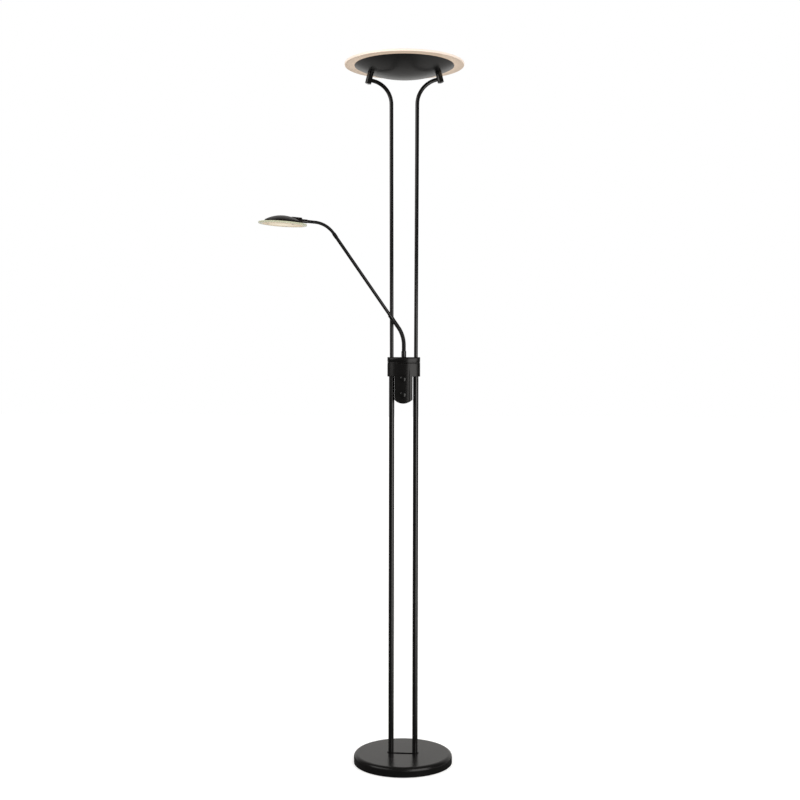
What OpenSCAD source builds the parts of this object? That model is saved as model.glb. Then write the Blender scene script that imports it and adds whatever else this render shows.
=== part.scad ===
// Twin-pole torchiere floor lamp with a flexible reading arm.
// Origin: centre of the base on the floor. +Z is up, and -Y is the front, where the dimmer knobs are.

/* [Overall] */
// Height of the lamp, from the floor to the top of the glass disc
lamp_h = 1795; // [1490:5:2160]

/* [Base] */
// Diameter of the round base
base_d = 254; // [212:1:320]
// Height of the base's flat top over the floor
base_h = 25; // [22:0.5:34]
// Radius of the base cover's upper edge
base_round = 10; // [4:0.5:14]
// Sheet thickness of the base cover
cover_wall = 1.5; // [1:0.1:2.5]
// Thickness of the felt pad under the base
pad_h = 1.6; // [1.5:0.1:3]
// Thickness of the iron weight's flange
weight_h = 12; // [9.5:0.5:14]
// Diameter of the mains cord that the inlet takes
cord_d = 6.5; // [5:0.1:8]

/* [Poles] */
// Distance between the two poles
pole_spacing = 62; // [51:1:76]
// Outer diameter of the lower tubes
lower_pole_d = 14; // [11.5:0.1:17]
// Outer diameter of the upper tubes
upper_pole_d = 10; // [8:0.5:11]
// Wall of the pole tubes
pole_wall = 1.5; // [1:0.1:2]
// Lean of each upper tube outwards
upper_lean = 0.17; // [0:0.01:0.3]
// Centreline radius of the fork bends
fork_bend_r = 63; // [45:1:80]
// Angle that each fork bend turns through
fork_sweep = 75; // [60:1:80]

/* [Dimmer housing] */
// Height of the housing's underside over the floor
collar_z = 998; // [900:1:1100]
// Height of the oval part below its lid
collar_h = 37; // [32:0.5:50]
// Depth of the oval part, front to back
collar_depth = 44; // [36:0.5:56]
// Metal left outside each lower tube
collar_cheek = 4.2; // [3:0.1:8]
// Wall of the housing
housing_wall = 2.2; // [1.6:0.1:3]
// Height of the lid's side
lid_h = 9.5; // [7:0.5:14]
// Rise of the lid's domed top from its ends to its middle
lid_dome = 2.2; // [1:0.1:4]
// Fall of the lid's top from its middle to its front edge
lid_fall = 3; // [1:0.1:4]
// Space between the dimmers' tongue and each lower tube
tongue_gap = 1.5; // [1.25:0.25:4]
// Length of the tongue below the lower knob's axis
tongue_tail = 23.5; // [22:0.5:36]
// Rise of the tongue's round lower edge
tongue_sag = 9.5; // [4:0.5:16]
// Distance from the oval part's underside down to the upper knob's axis
knob_drop = 5.5; // [5.5:0.5:10]
// Distance between the two dimmer knobs
knob_pitch = 40; // [34:0.5:46]
// Diameter of a knob
knob_d = 16; // [14:0.5:18]
// Length of a knob
knob_h = 10; // [8:0.5:14]

/* [Reading arm] */
// Angle of the arm forward of the poles' plane
arm_turn = 24; // [22:1:60]
// Rise of the straight tube over the horizontal
arm_rise = 53.5; // [40:0.5:65]
// Rise of the arm's end over the horizontal
head_rise = 3; // [0:0.5:10]
// Height over the lid's seat where the lines of the socket and the tube cross
arm_corner_rise = 56.5; // [50:0.5:80]
// Distance between the two corners of the arm
arm_length = 346; // [280:1:420]
// Distance from the upper corner to the head's neck
arm_reach = 65.3; // [60:0.1:90]
// Diameter of the lower gooseneck
low_neck_d = 10.5; // [9:0.5:11]
// Centreline radius of the lower gooseneck's bend
low_neck_r = 77; // [60:1:90]
// Diameter of the straight tube
arm_tube_d = 8.4; // [7:0.1:9]
// Diameter of the upper gooseneck
up_neck_d = 8; // [7:0.1:8]
// Centreline radius of the upper gooseneck's bend
up_neck_r = 65; // [50:1:72]
// Most that the lower gooseneck bends either way
low_flex = 45; // [20:1:50]
// Most that the upper gooseneck bends either way
up_flex = 60; // [30:1:60]

/* [Reading head] */
// Diameter of the head's glass disc
head_glass_d = 120; // [110:1:140]
// Thickness of the head's glass disc
head_glass_t = 4; // [3:0.5:5]
// Diameter of the head's housing
head_d = 89.6; // [84:0.1:100]
// Height of the housing's side
head_side_h = 5.8; // [5:0.1:9]
// Rise of the housing's domed top
head_dome = 12.7; // [8:0.1:16]
// Diameter of the neck on the housing
neck_d = 16.7; // [15:0.1:17]
// Twist of the head on its neck
head_twist = -1.7; // [-10:0.1:10]

/* [Uplighter] */
// Diameter of the pan
pan_d = 254; // [240:1:300]
// Depth of the pan
pan_depth = 29.6; // [27:0.1:36]
// Sheet thickness of the pan
pan_wall = 1.2; // [0.8:0.1:1.5]
// Diameter of the glass disc on the pan
glass_d = 305; // [290:1:340]
// Thickness of the glass disc
glass_t = 5.5; // [4:0.5:8]
// Distance from each pole out to its barrel under the pan
barrel_reach = 55.5; // [48:0.5:60]
// Lean of the barrels towards the centre
barrel_lean = 13.5; // [10:0.5:18]
// Diameter of the barrels
barrel_d = 16; // [14.5:0.5:18]
// Length of the barrels
barrel_h = 28; // [24:0.5:34]

/* [Hidden] */
$fn = 96;

black = [0.07, 0.07, 0.075];
steel = [0.72, 0.72, 0.74];
brass = [0.78, 0.62, 0.32];
pale = [0.95, 0.94, 0.9];

// Clearances: a fixed fit, a running fit, and the space between pieces that must not touch
join = 0.02;                     // how far an arc stops short of the circle it runs into
fix = 0.05;
run = 0.05;
gap = 0.3;
eps = 0.01;

// Base
rim_z = 1;                       // bottom edge of the cover
plate_t = 1.5;
plate_r = base_d / 2 - cover_wall - 0.5;
plate_top = pad_h + plate_t;
cover_in = base_h - cover_wall;  // underside of the cover's top
weight_r = base_d / 2 - base_round - 2;
weight_top = plate_top + weight_h;
hub_r = pole_spacing / 2 + 22;
pad_r = plate_r - 2;
plate_screw_ring = hub_r + 20;
plate_head_d = 7.5;
plate_head_h = 1.3;
grommet_z = plate_top + 7;
grommet_in = base_d / 2 - cover_wall;
grommet_neck_d = cord_d + 3;
grommet_bore = cord_d + 0.1;
grommet_flange_d = grommet_neck_d + 3.4;
grommet_flange_t = 1.9;
channel_w = 34;                  // slot in the weight for the cord and its terminals
channel_y0 = hub_r + 6;
block = [26, 12, 11];            // terminal block
block_poles = [-8, 0, 8];

// Poles
pole_x = pole_spacing / 2;
lower_pole_in = lower_pole_d - 2 * pole_wall;
upper_pole_in = upper_pole_d - 2 * pole_wall;
foot_t = 2;
foot_w = lower_pole_d + 6;
foot_edge = 0.5;
foot_top = base_h + foot_t;
nipple_d = lower_pole_in - 1.4;
nipple_bore = nipple_d - 3.6;
nipple_bottom = plate_top + 0.6;
nipple_top = foot_top + 16;
foot_nut_h = 6;
foot_nut_flats = nipple_d + 5.4;
foot_washer_h = 1.6;
foot_washer_d = foot_nut_flats + 5;
foot_pocket = 9;                 // depth of the nut's pocket in the weight
foot_pocket_d = foot_washer_d + 2;
plug_h = 22;

// Dimmer housing: the oval has round ends about the poles and a tangent arc at front and back
end_r = lower_pole_d / 2 + collar_cheek;
half_depth = collar_depth / 2;
arc_off = (pole_x ^ 2 - (half_depth - end_r) ^ 2) / (2 * (half_depth - end_r));
arc_r = arc_off + half_depth;
collar_top = collar_z + collar_h;
floor_top = collar_z + housing_wall;
clamp_h = 28;
clamp_top = floor_top + clamp_h;
clamp_r = end_r - housing_wall - 0.2;
clamp_screw_d = 3;
lower_pole_top = floor_top + 14;
upper_pole_bottom = lower_pole_top + 3;
tongue_w = pole_spacing - lower_pole_d - 2 * tongue_gap;
tongue_back = 8;
tongue_drop = knob_drop + knob_pitch + tongue_tail;
tongue_bottom = collar_z - tongue_drop;
tongue_edge_r = ((tongue_w / 2) ^ 2 + tongue_sag ^ 2) / (2 * tongue_sag);
lid_bottom = collar_top + 0.6;   // shadow gap under the lid
lid_top = lid_bottom + lid_h;
lid_peak = lid_top + lid_dome;
dome_r = ((pole_x + end_r) ^ 2 + lid_dome ^ 2) / (2 * lid_dome);
fall_r = (half_depth ^ 2 + lid_fall ^ 2) / (2 * lid_fall);
seat_d = 15;                     // flat seat for the reading arm
seat_z = lid_peak - 0.3;
knob_z = [collar_z - knob_drop - knob_pitch, collar_z - knob_drop];
knob_skirt = 2;                  // height of the plain ring round a knob's foot
knob_grip_d = knob_d - 1.6;
pot_d = 15;
pot_face = half_depth - housing_wall - 0.6;
pot_h = 8;
bush_d = 7;
shaft_d = 6;
pot_nut_h = 2;
knob_gap = 0.8;
board_t = 1.6;
board_front = pot_face - pot_h;
board_w = tongue_w - 2 * housing_wall - 3;
board_part_x = board_w / 2 - 6;  // the board's parts stand in two columns
slot_y = board_front - board_t - 0.6;
boss_d = 6;
cover_t = 2;
boss_z = [knob_z[0] + knob_pitch / 2, tongue_bottom + 7.5];

// Reading arm, drawn in its own upright plane
washer_h = 0.8;
swivel_play = 0.1;
ferrule_z = seat_z + washer_h + swivel_play;
pivot_d = 8;
swivel_d = low_neck_d + 2.1;
swivel_h = 15.6;
swivel_top = ferrule_z + swivel_h;
nut_h = 3.6;
nut_z = swivel_top - 1.8 - nut_h - 0.4;
neck_socket = 1.8;
low_sweep = 90 - arm_rise;
up_sweep = arm_rise - head_rise;
low_tangent = low_neck_r * tan(low_sweep / 2);
up_tangent = up_neck_r * tan(up_sweep / 2);
low_bend_z = seat_z + arm_corner_rise - low_tangent;
low_ferrule_d = max(low_neck_d, arm_tube_d) + 1;
low_ferrule_h = 12;
low_neck_tail = 27;              // straight end of the lower gooseneck after its bend
up_ferrule_d = max(up_neck_d, arm_tube_d) + 1.2;
up_ferrule_h = 13.5;
spigot = 6;                      // depth of tube ends inside ferrules
ferrule_stop = 0.2;              // space between two tube ends inside a ferrule
tube_from = low_neck_tail + low_ferrule_h - spigot;
tube_to = arm_length - low_tangent - up_tangent - up_ferrule_h + spigot;
up_neck_from = arm_length - low_tangent - up_tangent;
sleeve_d = up_neck_d + 1.6;
sleeve_h = 15.5;
sleeve_from = arm_reach - up_tangent - sleeve_h;
neck_spigot_d = up_neck_d - 0.6;
neck_spigot = 8;

// Reading head, in a frame with its origin on the arm's axis over the glass disc's centre
head_r = head_d / 2;
head_wall = 1.6;
neck_out = head_r + 2.5;         // end face of the neck
head_bottom = -neck_d / 2 - 1.2;
head_shoulder = head_bottom + head_side_h;
head_dome_r = (head_r ^ 2 + head_dome ^ 2) / (2 * head_dome);
head_flat = neck_out - neck_spigot - 2.5;
ledge_z = head_bottom + 6;
head_board_t = 1.6;
head_board_r = head_r - head_wall - 2;
head_diffuser_t = 1.8;
head_screw_ring = 36;
head_screw_d = 3;

// Uplighter
gasket_t = 0.5;
glass_edge = 1.2;                // rounding of the glass's rim
glass_z = lamp_h - glass_t;
pan_rim_z = glass_z - gasket_t;
pan_r = pan_d / 2;
pan_sphere = (pan_r ^ 2 + pan_depth ^ 2) / (2 * pan_depth);
pan_cz = pan_rim_z - pan_depth + pan_sphere;
flange_t = 1.5;
flange_in = pan_r - 21;
flange_z = pan_rim_z - flange_t;
barrel_x = pole_x + barrel_reach;
barrel_top_z = sphere_z(barrel_x, pan_sphere);
barrel_bore = 8;
barrel_nut_flats = 12;
barrel_nut_h = 3.2;
barrel_nut_seat = 0.6;           // the pan's curve under the nut
barrel_edge = 0.8;
barrel_nipple_h = 9;             // length of a nipple inside its barrel
nut_rise = (pan_wall + barrel_nut_seat + barrel_nut_h) * cos(barrel_lean)
    + barrel_nut_flats / 2 / cos(30) * sin(barrel_lean);
plate_z = barrel_top_z + nut_rise + gap;    // the chassis clears the barrels' nuts
chassis_r = pan_r - 29;
chassis_t = 2;
chassis_top = plate_z + chassis_t;
up_board_r = 60;
up_board_t = 1.6;
led_ring = 44;
led_count = 20;
reflector_t = 0.8;
post_ring = pan_r - 42;
post_d = 9;
post_h = plate_z - sphere_z(post_ring - post_d / 2, pan_sphere - pan_wall) + 1;
driver = [88, 30];
driver_y = 10;
driver_corner = norm([driver[0] / 2, driver_y + driver[1]]);
driver_h = plate_z - sphere_z(driver_corner, pan_sphere - pan_wall) - 1;

// Height of a sphere of radius s about the pan's centre, at a distance r from its axis
function sphere_z(r, s) = pan_cz - sqrt(s ^ 2 - r ^ 2);

// Forks: each arm ends inside its barrel, its axis crossing the barrel's
arm_seat = 10.1;                 // from the barrel's lower end up to the fork arm's axis
arm_entry = 6;                   // depth of the fork arm's end inside the barrel
arm_drop = barrel_h - arm_seat;
crossing_x = barrel_reach + arm_drop * sin(barrel_lean);
crossing_z = barrel_top_z - arm_drop * cos(barrel_lean) - upper_pole_bottom;
lean_x = crossing_x * cos(upper_lean) - crossing_z * sin(upper_lean);
lean_z = crossing_x * sin(upper_lean) + crossing_z * cos(upper_lean);
fork_end = (lean_x - fork_bend_r * (1 - cos(fork_sweep))) / sin(fork_sweep);
fork_straight = lean_z - fork_bend_r * sin(fork_sweep) - fork_end * cos(fork_sweep);
fork_tail = fork_end - barrel_d / 2 + arm_entry;
barrel_screw_l = arm_seat - upper_pole_d / 2 - 0.2;

// ---------- shared shapes ----------
module tube(od, id, h) {
    linear_extrude(h) difference() {
        circle(d = od);
        circle(d = id);
    }
}

// Round bar with a chamfer at each end
module rod(d, h, edge) {
    r = d / 2;
    rotate_extrude() polygon([[0, 0], [r - edge, 0], [r, edge], [r, h - edge], [r - edge, h], [0, h]]);
}

// Disc with a rounded upper edge, and a rounded lower one where both is true
module round_disc(r, h, edge, both = false) {
    foot = both ? edge : 0;
    rotate_extrude() {
        square([r - edge, h]);
        translate([0, foot]) square([r, h - edge - foot]);
        for (z = both ? [edge, h - edge] : [h - edge])
            translate([r - edge, z]) circle(r = edge);
    }
}

module pair(x) {
    for (side = [-1, 1])
        translate([side * x, 0, 0]) children();
}

module ring_of(n, r, start = 0) {
    for (i = [0:n - 1])
        rotate([0, 0, start + i * 360 / n]) translate([r, 0, 0]) children();
}

module hex_nut(flats, bore, h) {
    difference() {
        cylinder(d = flats / cos(30), h = h, $fn = 6);
        translate([0, 0, -1]) cylinder(d = bore, h = h + 2);
    }
}

module pan_head_screw(d, head_d, head_h, length) {
    translate([0, 0, -length]) cylinder(d = d, h = length);
    difference() {
        cylinder(d = head_d, h = head_h);
        translate([-head_d, -0.4, head_h - 0.8]) cube([2 * head_d, 0.8, 2]);
    }
}

// A pipe bend: starts at the origin along +Z and turns towards +X
module bend(od, id, r, sweep) {
    translate([r, 0, 0]) rotate([90, 0, 180]) rotate_extrude(angle = sweep) translate([r, 0]) difference() {
        circle(d = od);
        if (id > 0) circle(d = id);
    }
}

// Sleeve, a hair over and under the pipe's walls, that makes two lengths of pipe one solid
module seam(od, id = 0) {
    translate([0, 0, -0.5]) linear_extrude(1) difference() {
        circle(d = od + 0.1);
        if (id > 0) circle(d = id - 0.1);
    }
}

module after_bend(r, sweep) {
    translate([r * (1 - cos(sweep)), 0, r * sin(sweep)]) rotate([0, sweep, 0]) children();
}

// Oval with ends about the poles; inset moves its whole edge inwards
module oval(inset = 0) {
    tangent_x = pole_x + (end_r - inset) * pole_x / (arc_r - end_r) - join;
    intersection() {
        translate([0, arc_off]) circle(r = arc_r - inset);
        translate([0, -arc_off]) circle(r = arc_r - inset);
        square([2 * tangent_x, 4 * half_depth], center = true);
    }
    for (side = [-1, 1])
        translate([side * pole_x, 0]) circle(r = end_r - inset);
}

// Ring that lies along Y, whose outermost line bulges both ways: its top is at the origin
module pillow() {
    translate([0, 0, -dome_r]) rotate([90, 0, 0]) rotate_extrude($fn = 360) translate([dome_r - fall_r, 0])
        circle(r = fall_r, $fn = 360);
}

// ---------- base ----------
module cover_half(r, h, round_r) {
    difference() {
        union() {
            square([r, h - round_r]);
            square([r - round_r, h]);
            translate([r - round_r, h - round_r]) circle(r = round_r);
        }
        translate([-2 * r, -1]) square([2 * r, 2 * h]);
    }
}

module base_cover() {
    color(black) difference() {
        rotate_extrude() difference() {
            translate([0, rim_z]) cover_half(base_d / 2, base_h - rim_z, base_round);
            translate([0, rim_z - 1])
                cover_half(base_d / 2 - cover_wall, base_h - cover_wall - rim_z + 1, base_round - cover_wall);
        }
        pair(pole_x) translate([0, 0, cover_in - 1]) cylinder(d = nipple_d + 2 * gap, h = cover_wall + 2);
        translate([0, grommet_in - 4, grommet_z]) rotate([-90, 0, 0])
            cylinder(d = grommet_neck_d + 2 * fix, h = 10);
    }
}

module base_weight() {
    color([0.3, 0.3, 0.31]) difference() {
        union() {
            translate([0, 0, plate_top]) cylinder(r = weight_r, h = weight_h);
            translate([0, 0, plate_top]) cylinder(r = hub_r, h = cover_in - plate_top);
        }
        pair(pole_x) {
            translate([0, 0, plate_top - 1]) cylinder(d = nipple_d + 2 * fix, h = base_h);
            translate([0, 0, plate_top - 1]) cylinder(d = foot_pocket_d, h = foot_pocket + 1);
        }
        translate([-channel_w / 2, channel_y0, plate_top - 1]) cube([channel_w, weight_r, base_h]);
        ring_of(4, plate_screw_ring, 45) translate([0, 0, plate_top - 1]) cylinder(d = 4 + 2 * fix, h = 8);
    }
}

module base_plate() {
    color(steel) difference() {
        translate([0, 0, pad_h]) cylinder(r = plate_r, h = plate_t);
        ring_of(4, plate_screw_ring, 45) translate([0, 0, pad_h - 1]) cylinder(d = 4.6, h = plate_t + 2);
    }
}

module base_pad() {
    color([0.2, 0.2, 0.2]) difference() {
        cylinder(r = pad_r, h = pad_h);
        ring_of(4, plate_screw_ring, 45) translate([0, 0, -1]) cylinder(d = plate_head_d + 2, h = pad_h + 2);
    }
}

module plate_screws() {
    color(steel) ring_of(4, plate_screw_ring, 45)
        translate([0, 0, pad_h]) mirror([0, 0, 1]) pan_head_screw(4, plate_head_d, plate_head_h, 7);
}

module cord_grommet() {
    color([0.1, 0.1, 0.1]) translate([0, grommet_in, grommet_z]) rotate([-90, 0, 0]) difference() {
        union() {
            translate([0, 0, -grommet_flange_t - 0.4]) cylinder(d = grommet_flange_d, h = grommet_flange_t);
            translate([0, 0, -1]) cylinder(d = grommet_neck_d, h = cover_wall + 3);
            translate([0, 0, cover_wall + 0.1])
                cylinder(d1 = grommet_flange_d, d2 = grommet_flange_d - 2, h = grommet_flange_t);
        }
        translate([0, 0, -5]) cylinder(d = grommet_bore, h = 20);
    }
}

module terminal_block() {
    color(pale) translate([0, channel_y0 + 10, plate_top]) difference() {
        translate([-block[0] / 2, 0, 0]) cube(block);
        for (x = block_poles) {
            translate([x, -1, 5]) rotate([-90, 0, 0]) cylinder(d = 3.4, h = block[1] + 2);
            translate([x, block[1] / 2, 5]) cylinder(d = 3.4, h = block[2]);
        }
        for (x = [block_poles[0] + 4, block_poles[1] + 4])
            translate([x - 0.6, -1, block[2] - 2]) cube([1.2, block[1] + 2, 3]);
    }
}

// ---------- poles ----------
// Bar with round ends under both poles; its side is that of the round ends' own outline
module foot_plate() {
    half_w = foot_w / 2;
    color(black) translate([0, 0, base_h]) difference() {
        union() {
            pair(pole_x) rod(foot_w, foot_t, foot_edge);
            rotate([90, 0, 90]) translate([0, 0, -pole_x]) linear_extrude(2 * pole_x) polygon([
                [foot_edge - half_w, 0], [half_w - foot_edge, 0], [half_w, foot_edge],
                [half_w, foot_t - foot_edge], [half_w - foot_edge, foot_t], [foot_edge - half_w, foot_t],
                [-half_w, foot_t - foot_edge], [-half_w, foot_edge]
            ]);
        }
        pair(pole_x) translate([0, 0, -1]) cylinder(d = nipple_d + 2 * fix, h = foot_t + 2);
    }
}

module foot_nipples() {
    color(brass) pair(pole_x)
        translate([0, 0, nipple_bottom]) tube(nipple_d, nipple_bore, nipple_top - nipple_bottom);
}

module foot_nuts() {
    color(steel) pair(pole_x) translate([0, 0, plate_top + foot_pocket]) mirror([0, 0, 1]) {
        tube(foot_washer_d, nipple_d + 2 * fix, foot_washer_h);
        translate([0, 0, foot_washer_h]) hex_nut(foot_nut_flats, nipple_d + 2 * fix, foot_nut_h);
    }
}

module pole_plugs() {
    color(brass) pair(pole_x) translate([0, 0, foot_top])
        tube(lower_pole_in - 2 * fix, nipple_d + 2 * fix, plug_h);
}

module lower_pole(side) {
    color(black) translate([side * pole_x, 0, foot_top])
        tube(lower_pole_d, lower_pole_in, lower_pole_top - foot_top);
}

// The frame of an upper tube: its origin on the tube's foot, its axis up along +Z, outwards along +X
module upper_frame(side) {
    mirror([side < 0 ? 1 : 0, 0, 0])
        translate([pole_x, 0, upper_pole_bottom]) rotate([0, upper_lean, 0]) children();
}

// The end of a fork arm, past its bend
module fork_frame(side) {
    upper_frame(side) translate([0, 0, fork_straight]) after_bend(fork_bend_r, fork_sweep) children();
}

module upper_pole(side) {
    color(black) {
        upper_frame(side) {
            tube(upper_pole_d, upper_pole_in, fork_straight);
            translate([0, 0, fork_straight]) {
                seam(upper_pole_d, upper_pole_in);
                bend(upper_pole_d, upper_pole_in, fork_bend_r, fork_sweep);
            }
        }
        fork_frame(side) {
            seam(upper_pole_d, upper_pole_in);
            tube(upper_pole_d, upper_pole_in, fork_tail);
        }
    }
}

// ---------- dimmer housing ----------
// The tongue's section: its front follows the oval's arc
module tongue_plan(inset) {
    intersection() {
        translate([0, arc_off]) circle(r = arc_r - inset);
        translate([-tongue_w / 2 + inset, -2 * half_depth])
            square([tongue_w - 2 * inset, 2 * half_depth + tongue_back]);
    }
}

module tongue_face(inset) {
    intersection() {
        translate([-tongue_w / 2 + inset, tongue_bottom + inset])
            square([tongue_w - 2 * inset, tongue_drop + housing_wall]);
        union() {
            translate([0, tongue_bottom + tongue_edge_r]) circle(r = tongue_edge_r - inset);
            translate([-tongue_w, tongue_bottom + tongue_edge_r]) square([2 * tongue_w, 2 * tongue_drop]);
        }
    }
}

module tongue_solid(inset, z_top) {
    intersection() {
        translate([0, 0, tongue_bottom - 1]) linear_extrude(z_top - tongue_bottom + 1) tongue_plan(inset);
        rotate([90, 0, 0]) translate([0, 0, -tongue_back]) linear_extrude(collar_depth + tongue_back)
            tongue_face(inset);
    }
}

module at_front(z) {
    translate([0, 0, z]) rotate([90, 0, 0]) children();
}

module dimmer_housing() {
    color(black) {
        difference() {
            union() {
                translate([0, 0, collar_z]) linear_extrude(collar_h) oval();
                tongue_solid(0, floor_top);
            }
            translate([0, 0, floor_top]) linear_extrude(collar_h) oval(housing_wall);
            tongue_solid(housing_wall, collar_z);
            intersection() {
                tongue_solid(housing_wall, floor_top + 1);
                translate([-tongue_w, -collar_depth, collar_z - 1])
                    cube([2 * tongue_w, collar_depth - slot_y, 10]);
            }
            pair(pole_x) translate([0, 0, collar_z - 1]) cylinder(d = lower_pole_d + 2 * fix, h = 10);
            for (z = knob_z)
                at_front(z) cylinder(d = bush_d + 2 * fix, h = collar_depth);
            translate([0, 0, collar_top - 3.6]) linear_extrude(0.8) difference() {
                oval(-1);
                oval(0.5);
            }
        }
        for (z = boss_z)
            at_front(z) difference() {
                intersection() {
                    translate([0, 0, -tongue_back + cover_t]) cylinder(d = boss_d, h = collar_depth);
                    translate([0, 0, -tongue_back]) linear_extrude(tongue_back + pot_face + 1)
                        square(2 * boss_d, center = true);
                }
                translate([0, 0, -tongue_back + cover_t - 1]) cylinder(d = 2.5, h = 13);
            }
    }
}

module collar_lid() {
    color(black) difference() {
        union() {
            intersection() {
                translate([0, 0, lid_bottom]) linear_extrude(lid_h + lid_dome) oval();
                translate([0, 0, lid_peak]) pillow();
            }
            translate([0, 0, clamp_top]) linear_extrude(lid_bottom - clamp_top + 1) oval(housing_wall + 0.15);
            translate([0, 0, lid_bottom]) cylinder(d = seat_d, h = seat_z - lid_bottom);
        }
        translate([0, 0, seat_z]) cylinder(d = seat_d + 2, h = 10);
        translate([0, 0, clamp_top - 1]) linear_extrude(lid_bottom + lid_h - housing_wall - clamp_top)
            difference() {
                oval(2 * housing_wall + 0.15);
                circle(d = seat_d);
                pair(pole_x) circle(d = upper_pole_d + 4.4);
            }
        for (side = [-1, 1])
            upper_frame(side) cylinder(d = upper_pole_d + 2 * fix, h = collar_h + lid_h + lid_dome);
        translate([0, 0, clamp_top - 1]) cylinder(d = pivot_d + 2 * fix, h = 40);
    }
}

module dimmer_cover() {
    color(black) difference() {
        intersection() {
            rotate([90, 0, 0]) translate([0, 0, -tongue_back]) linear_extrude(cover_t)
                tongue_face(housing_wall + 0.1);
            translate([-tongue_w, -1, 0]) cube([2 * tongue_w, 2 * tongue_back, collar_z - 0.1]);
        }
        for (z = boss_z)
            at_front(z) translate([0, 0, -tongue_back - 1]) cylinder(d = 3.2, h = cover_t + 2);
    }
}

module cover_screws() {
    color(steel) for (z = boss_z)
        at_front(z) translate([0, 0, -tongue_back]) mirror([0, 0, 1]) pan_head_screw(2.4, 5.5, 1.8, 10);
}

module pole_clamp() {
    color(steel) difference() {
        translate([0, 0, floor_top]) linear_extrude(clamp_h) {
            square([2 * pole_x, lower_pole_d + 2], center = true);
            pair(pole_x) circle(r = clamp_r);
        }
        pair(pole_x) {
            translate([0, 0, floor_top - 1])
                cylinder(d = lower_pole_d + 2 * fix, h = lower_pole_top - floor_top + 1);
            translate([0, 0, floor_top]) cylinder(d = upper_pole_in, h = clamp_h);
        }
        for (side = [-1, 1])
            upper_frame(side) cylinder(d = upper_pole_d + 2 * fix, h = clamp_h);
        translate([0, 0, floor_top - 1]) cylinder(d = pivot_d + 2 * fix, h = clamp_h + 2);
        pair(pole_x) for (z = [floor_top + 7, clamp_top - 5])
            translate([0, 0, z]) rotate([-90, 0, 0]) cylinder(d = clamp_screw_d + 2 * fix, h = lower_pole_d);
    }
}

// Each clamp screw's tip rests on its pole
module clamp_screws() {
    color(steel) pair(pole_x) {
        translate([0, 0, floor_top + 7]) rotate([-90, 0, 0]) translate([0, 0, lower_pole_d / 2 + 0.1])
            cylinder(d = clamp_screw_d, h = clamp_r - lower_pole_d / 2);
        translate([0, 0, clamp_top - 5]) rotate([-90, 0, 0]) translate([0, 0, upper_pole_d / 2 + 0.1])
            cylinder(d = clamp_screw_d, h = clamp_r - upper_pole_d / 2);
    }
}

module dimmer_board() {
    color([0.1, 0.35, 0.18]) at_front(0) translate([0, 0, board_front - board_t]) linear_extrude(board_t)
        difference() {
            translate([-board_w / 2, knob_z[0] - 9.5]) square([board_w, knob_pitch + 12.5]);
            for (z = boss_z)
                translate([0, z]) circle(d = boss_d + 1);
        }
}

// Can with a rolled groove near its foot
module capacitor(d, h) {
    difference() {
        cylinder(d = d, h = h);
        translate([0, 0, h - 2.4]) tube(d + 1, d - 0.8, 0.8);
    }
}

// Flat package with a drilled metal tab
module power_switch(w, body, tab, t) {
    translate([-w / 2, 0, 0]) cube([w, body, t]);
    difference() {
        translate([-w / 2, body, 0]) cube([w, tab, t / 3]);
        translate([0, body + tab / 2, -1]) cylinder(d = tab / 2, h = t);
    }
}

// Two capacitors, a choke and two power switches on the back of the board
module board_parts() {
    back = board_front - board_t;
    color([0.15, 0.15, 0.2]) at_front(0) {
        for (x = [-board_part_x, board_part_x]) {
            translate([x, knob_z[0], back - 9]) capacitor(8, 9);
            translate([x, knob_z[1] - 14, back - 4]) power_switch(10, 9, 6, 4);
        }
        translate([0, knob_z[0] + 10, back - 6]) tube(9, 4, 6);
    }
}

module potentiometer(z) {
    color(steel) at_front(z) difference() {
        union() {
            translate([0, 0, pot_face - pot_h]) cylinder(d = pot_d, h = pot_h);
            translate([0, 0, pot_face - 1])
                cylinder(d = bush_d, h = half_depth + pot_nut_h + 0.5 - pot_face + 1);
        }
        translate([0, 0, pot_face - pot_h + 1.5]) cylinder(d = shaft_d + 2 * run, h = collar_depth);
    }
}

module potentiometer_nuts() {
    color(steel) for (z = knob_z)
        at_front(z) translate([0, 0, half_depth]) hex_nut(9, bush_d + 2 * fix, pot_nut_h);
}

module shaft(z) {
    from = pot_face - pot_h + 1.8;
    to = half_depth + knob_gap + knob_h - 1.6;
    color(brass) at_front(z) difference() {
        translate([0, 0, from]) cylinder(d = shaft_d, h = to - from);
        translate([1.6, -shaft_d, half_depth + pot_nut_h + 1]) cube([shaft_d, 2 * shaft_d, 30]);
    }
}

// Cap with a plain ring at its foot, a fluted grip, a domed front and a mark from its centre to its edge
module knob(z) {
    color([0.03, 0.03, 0.03]) at_front(z) translate([0, 0, half_depth + knob_gap]) difference() {
        union() {
            rod(knob_d, knob_skirt, 0.4);
            intersection() {
                rod(knob_grip_d, knob_h, 0.8);
                translate([0, 0, knob_h - knob_d * 1.1]) sphere(r = knob_d * 1.1);
            }
        }
        ring_of(18, knob_grip_d / 2 + 0.45, 10)
            translate([0, 0, knob_skirt]) cylinder(r = 0.8, h = knob_h, $fn = 16);
        translate([0, 0, -1]) cylinder(d = knob_d - 4.4, h = pot_nut_h + 1.2);
        translate([0, 0, -1]) intersection() {
            cylinder(d = shaft_d + 2 * fix, h = knob_h - 0.5);
            translate([-shaft_d, -shaft_d, 0]) cube([shaft_d + 1.6 + fix, 2 * shaft_d, knob_h]);
        }
        rotate([0, 0, -60]) translate([1.5, -0.4, knob_h - 0.7]) cube([knob_d, 0.8, 2]);
    }
}

// ---------- reading arm ----------
module arm_plane() {
    rotate([0, 0, 180 + arm_turn]) children();
}

module along_tube() {
    arm_plane() translate([0, 0, low_bend_z]) after_bend(low_neck_r, low_sweep) children();
}

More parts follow.
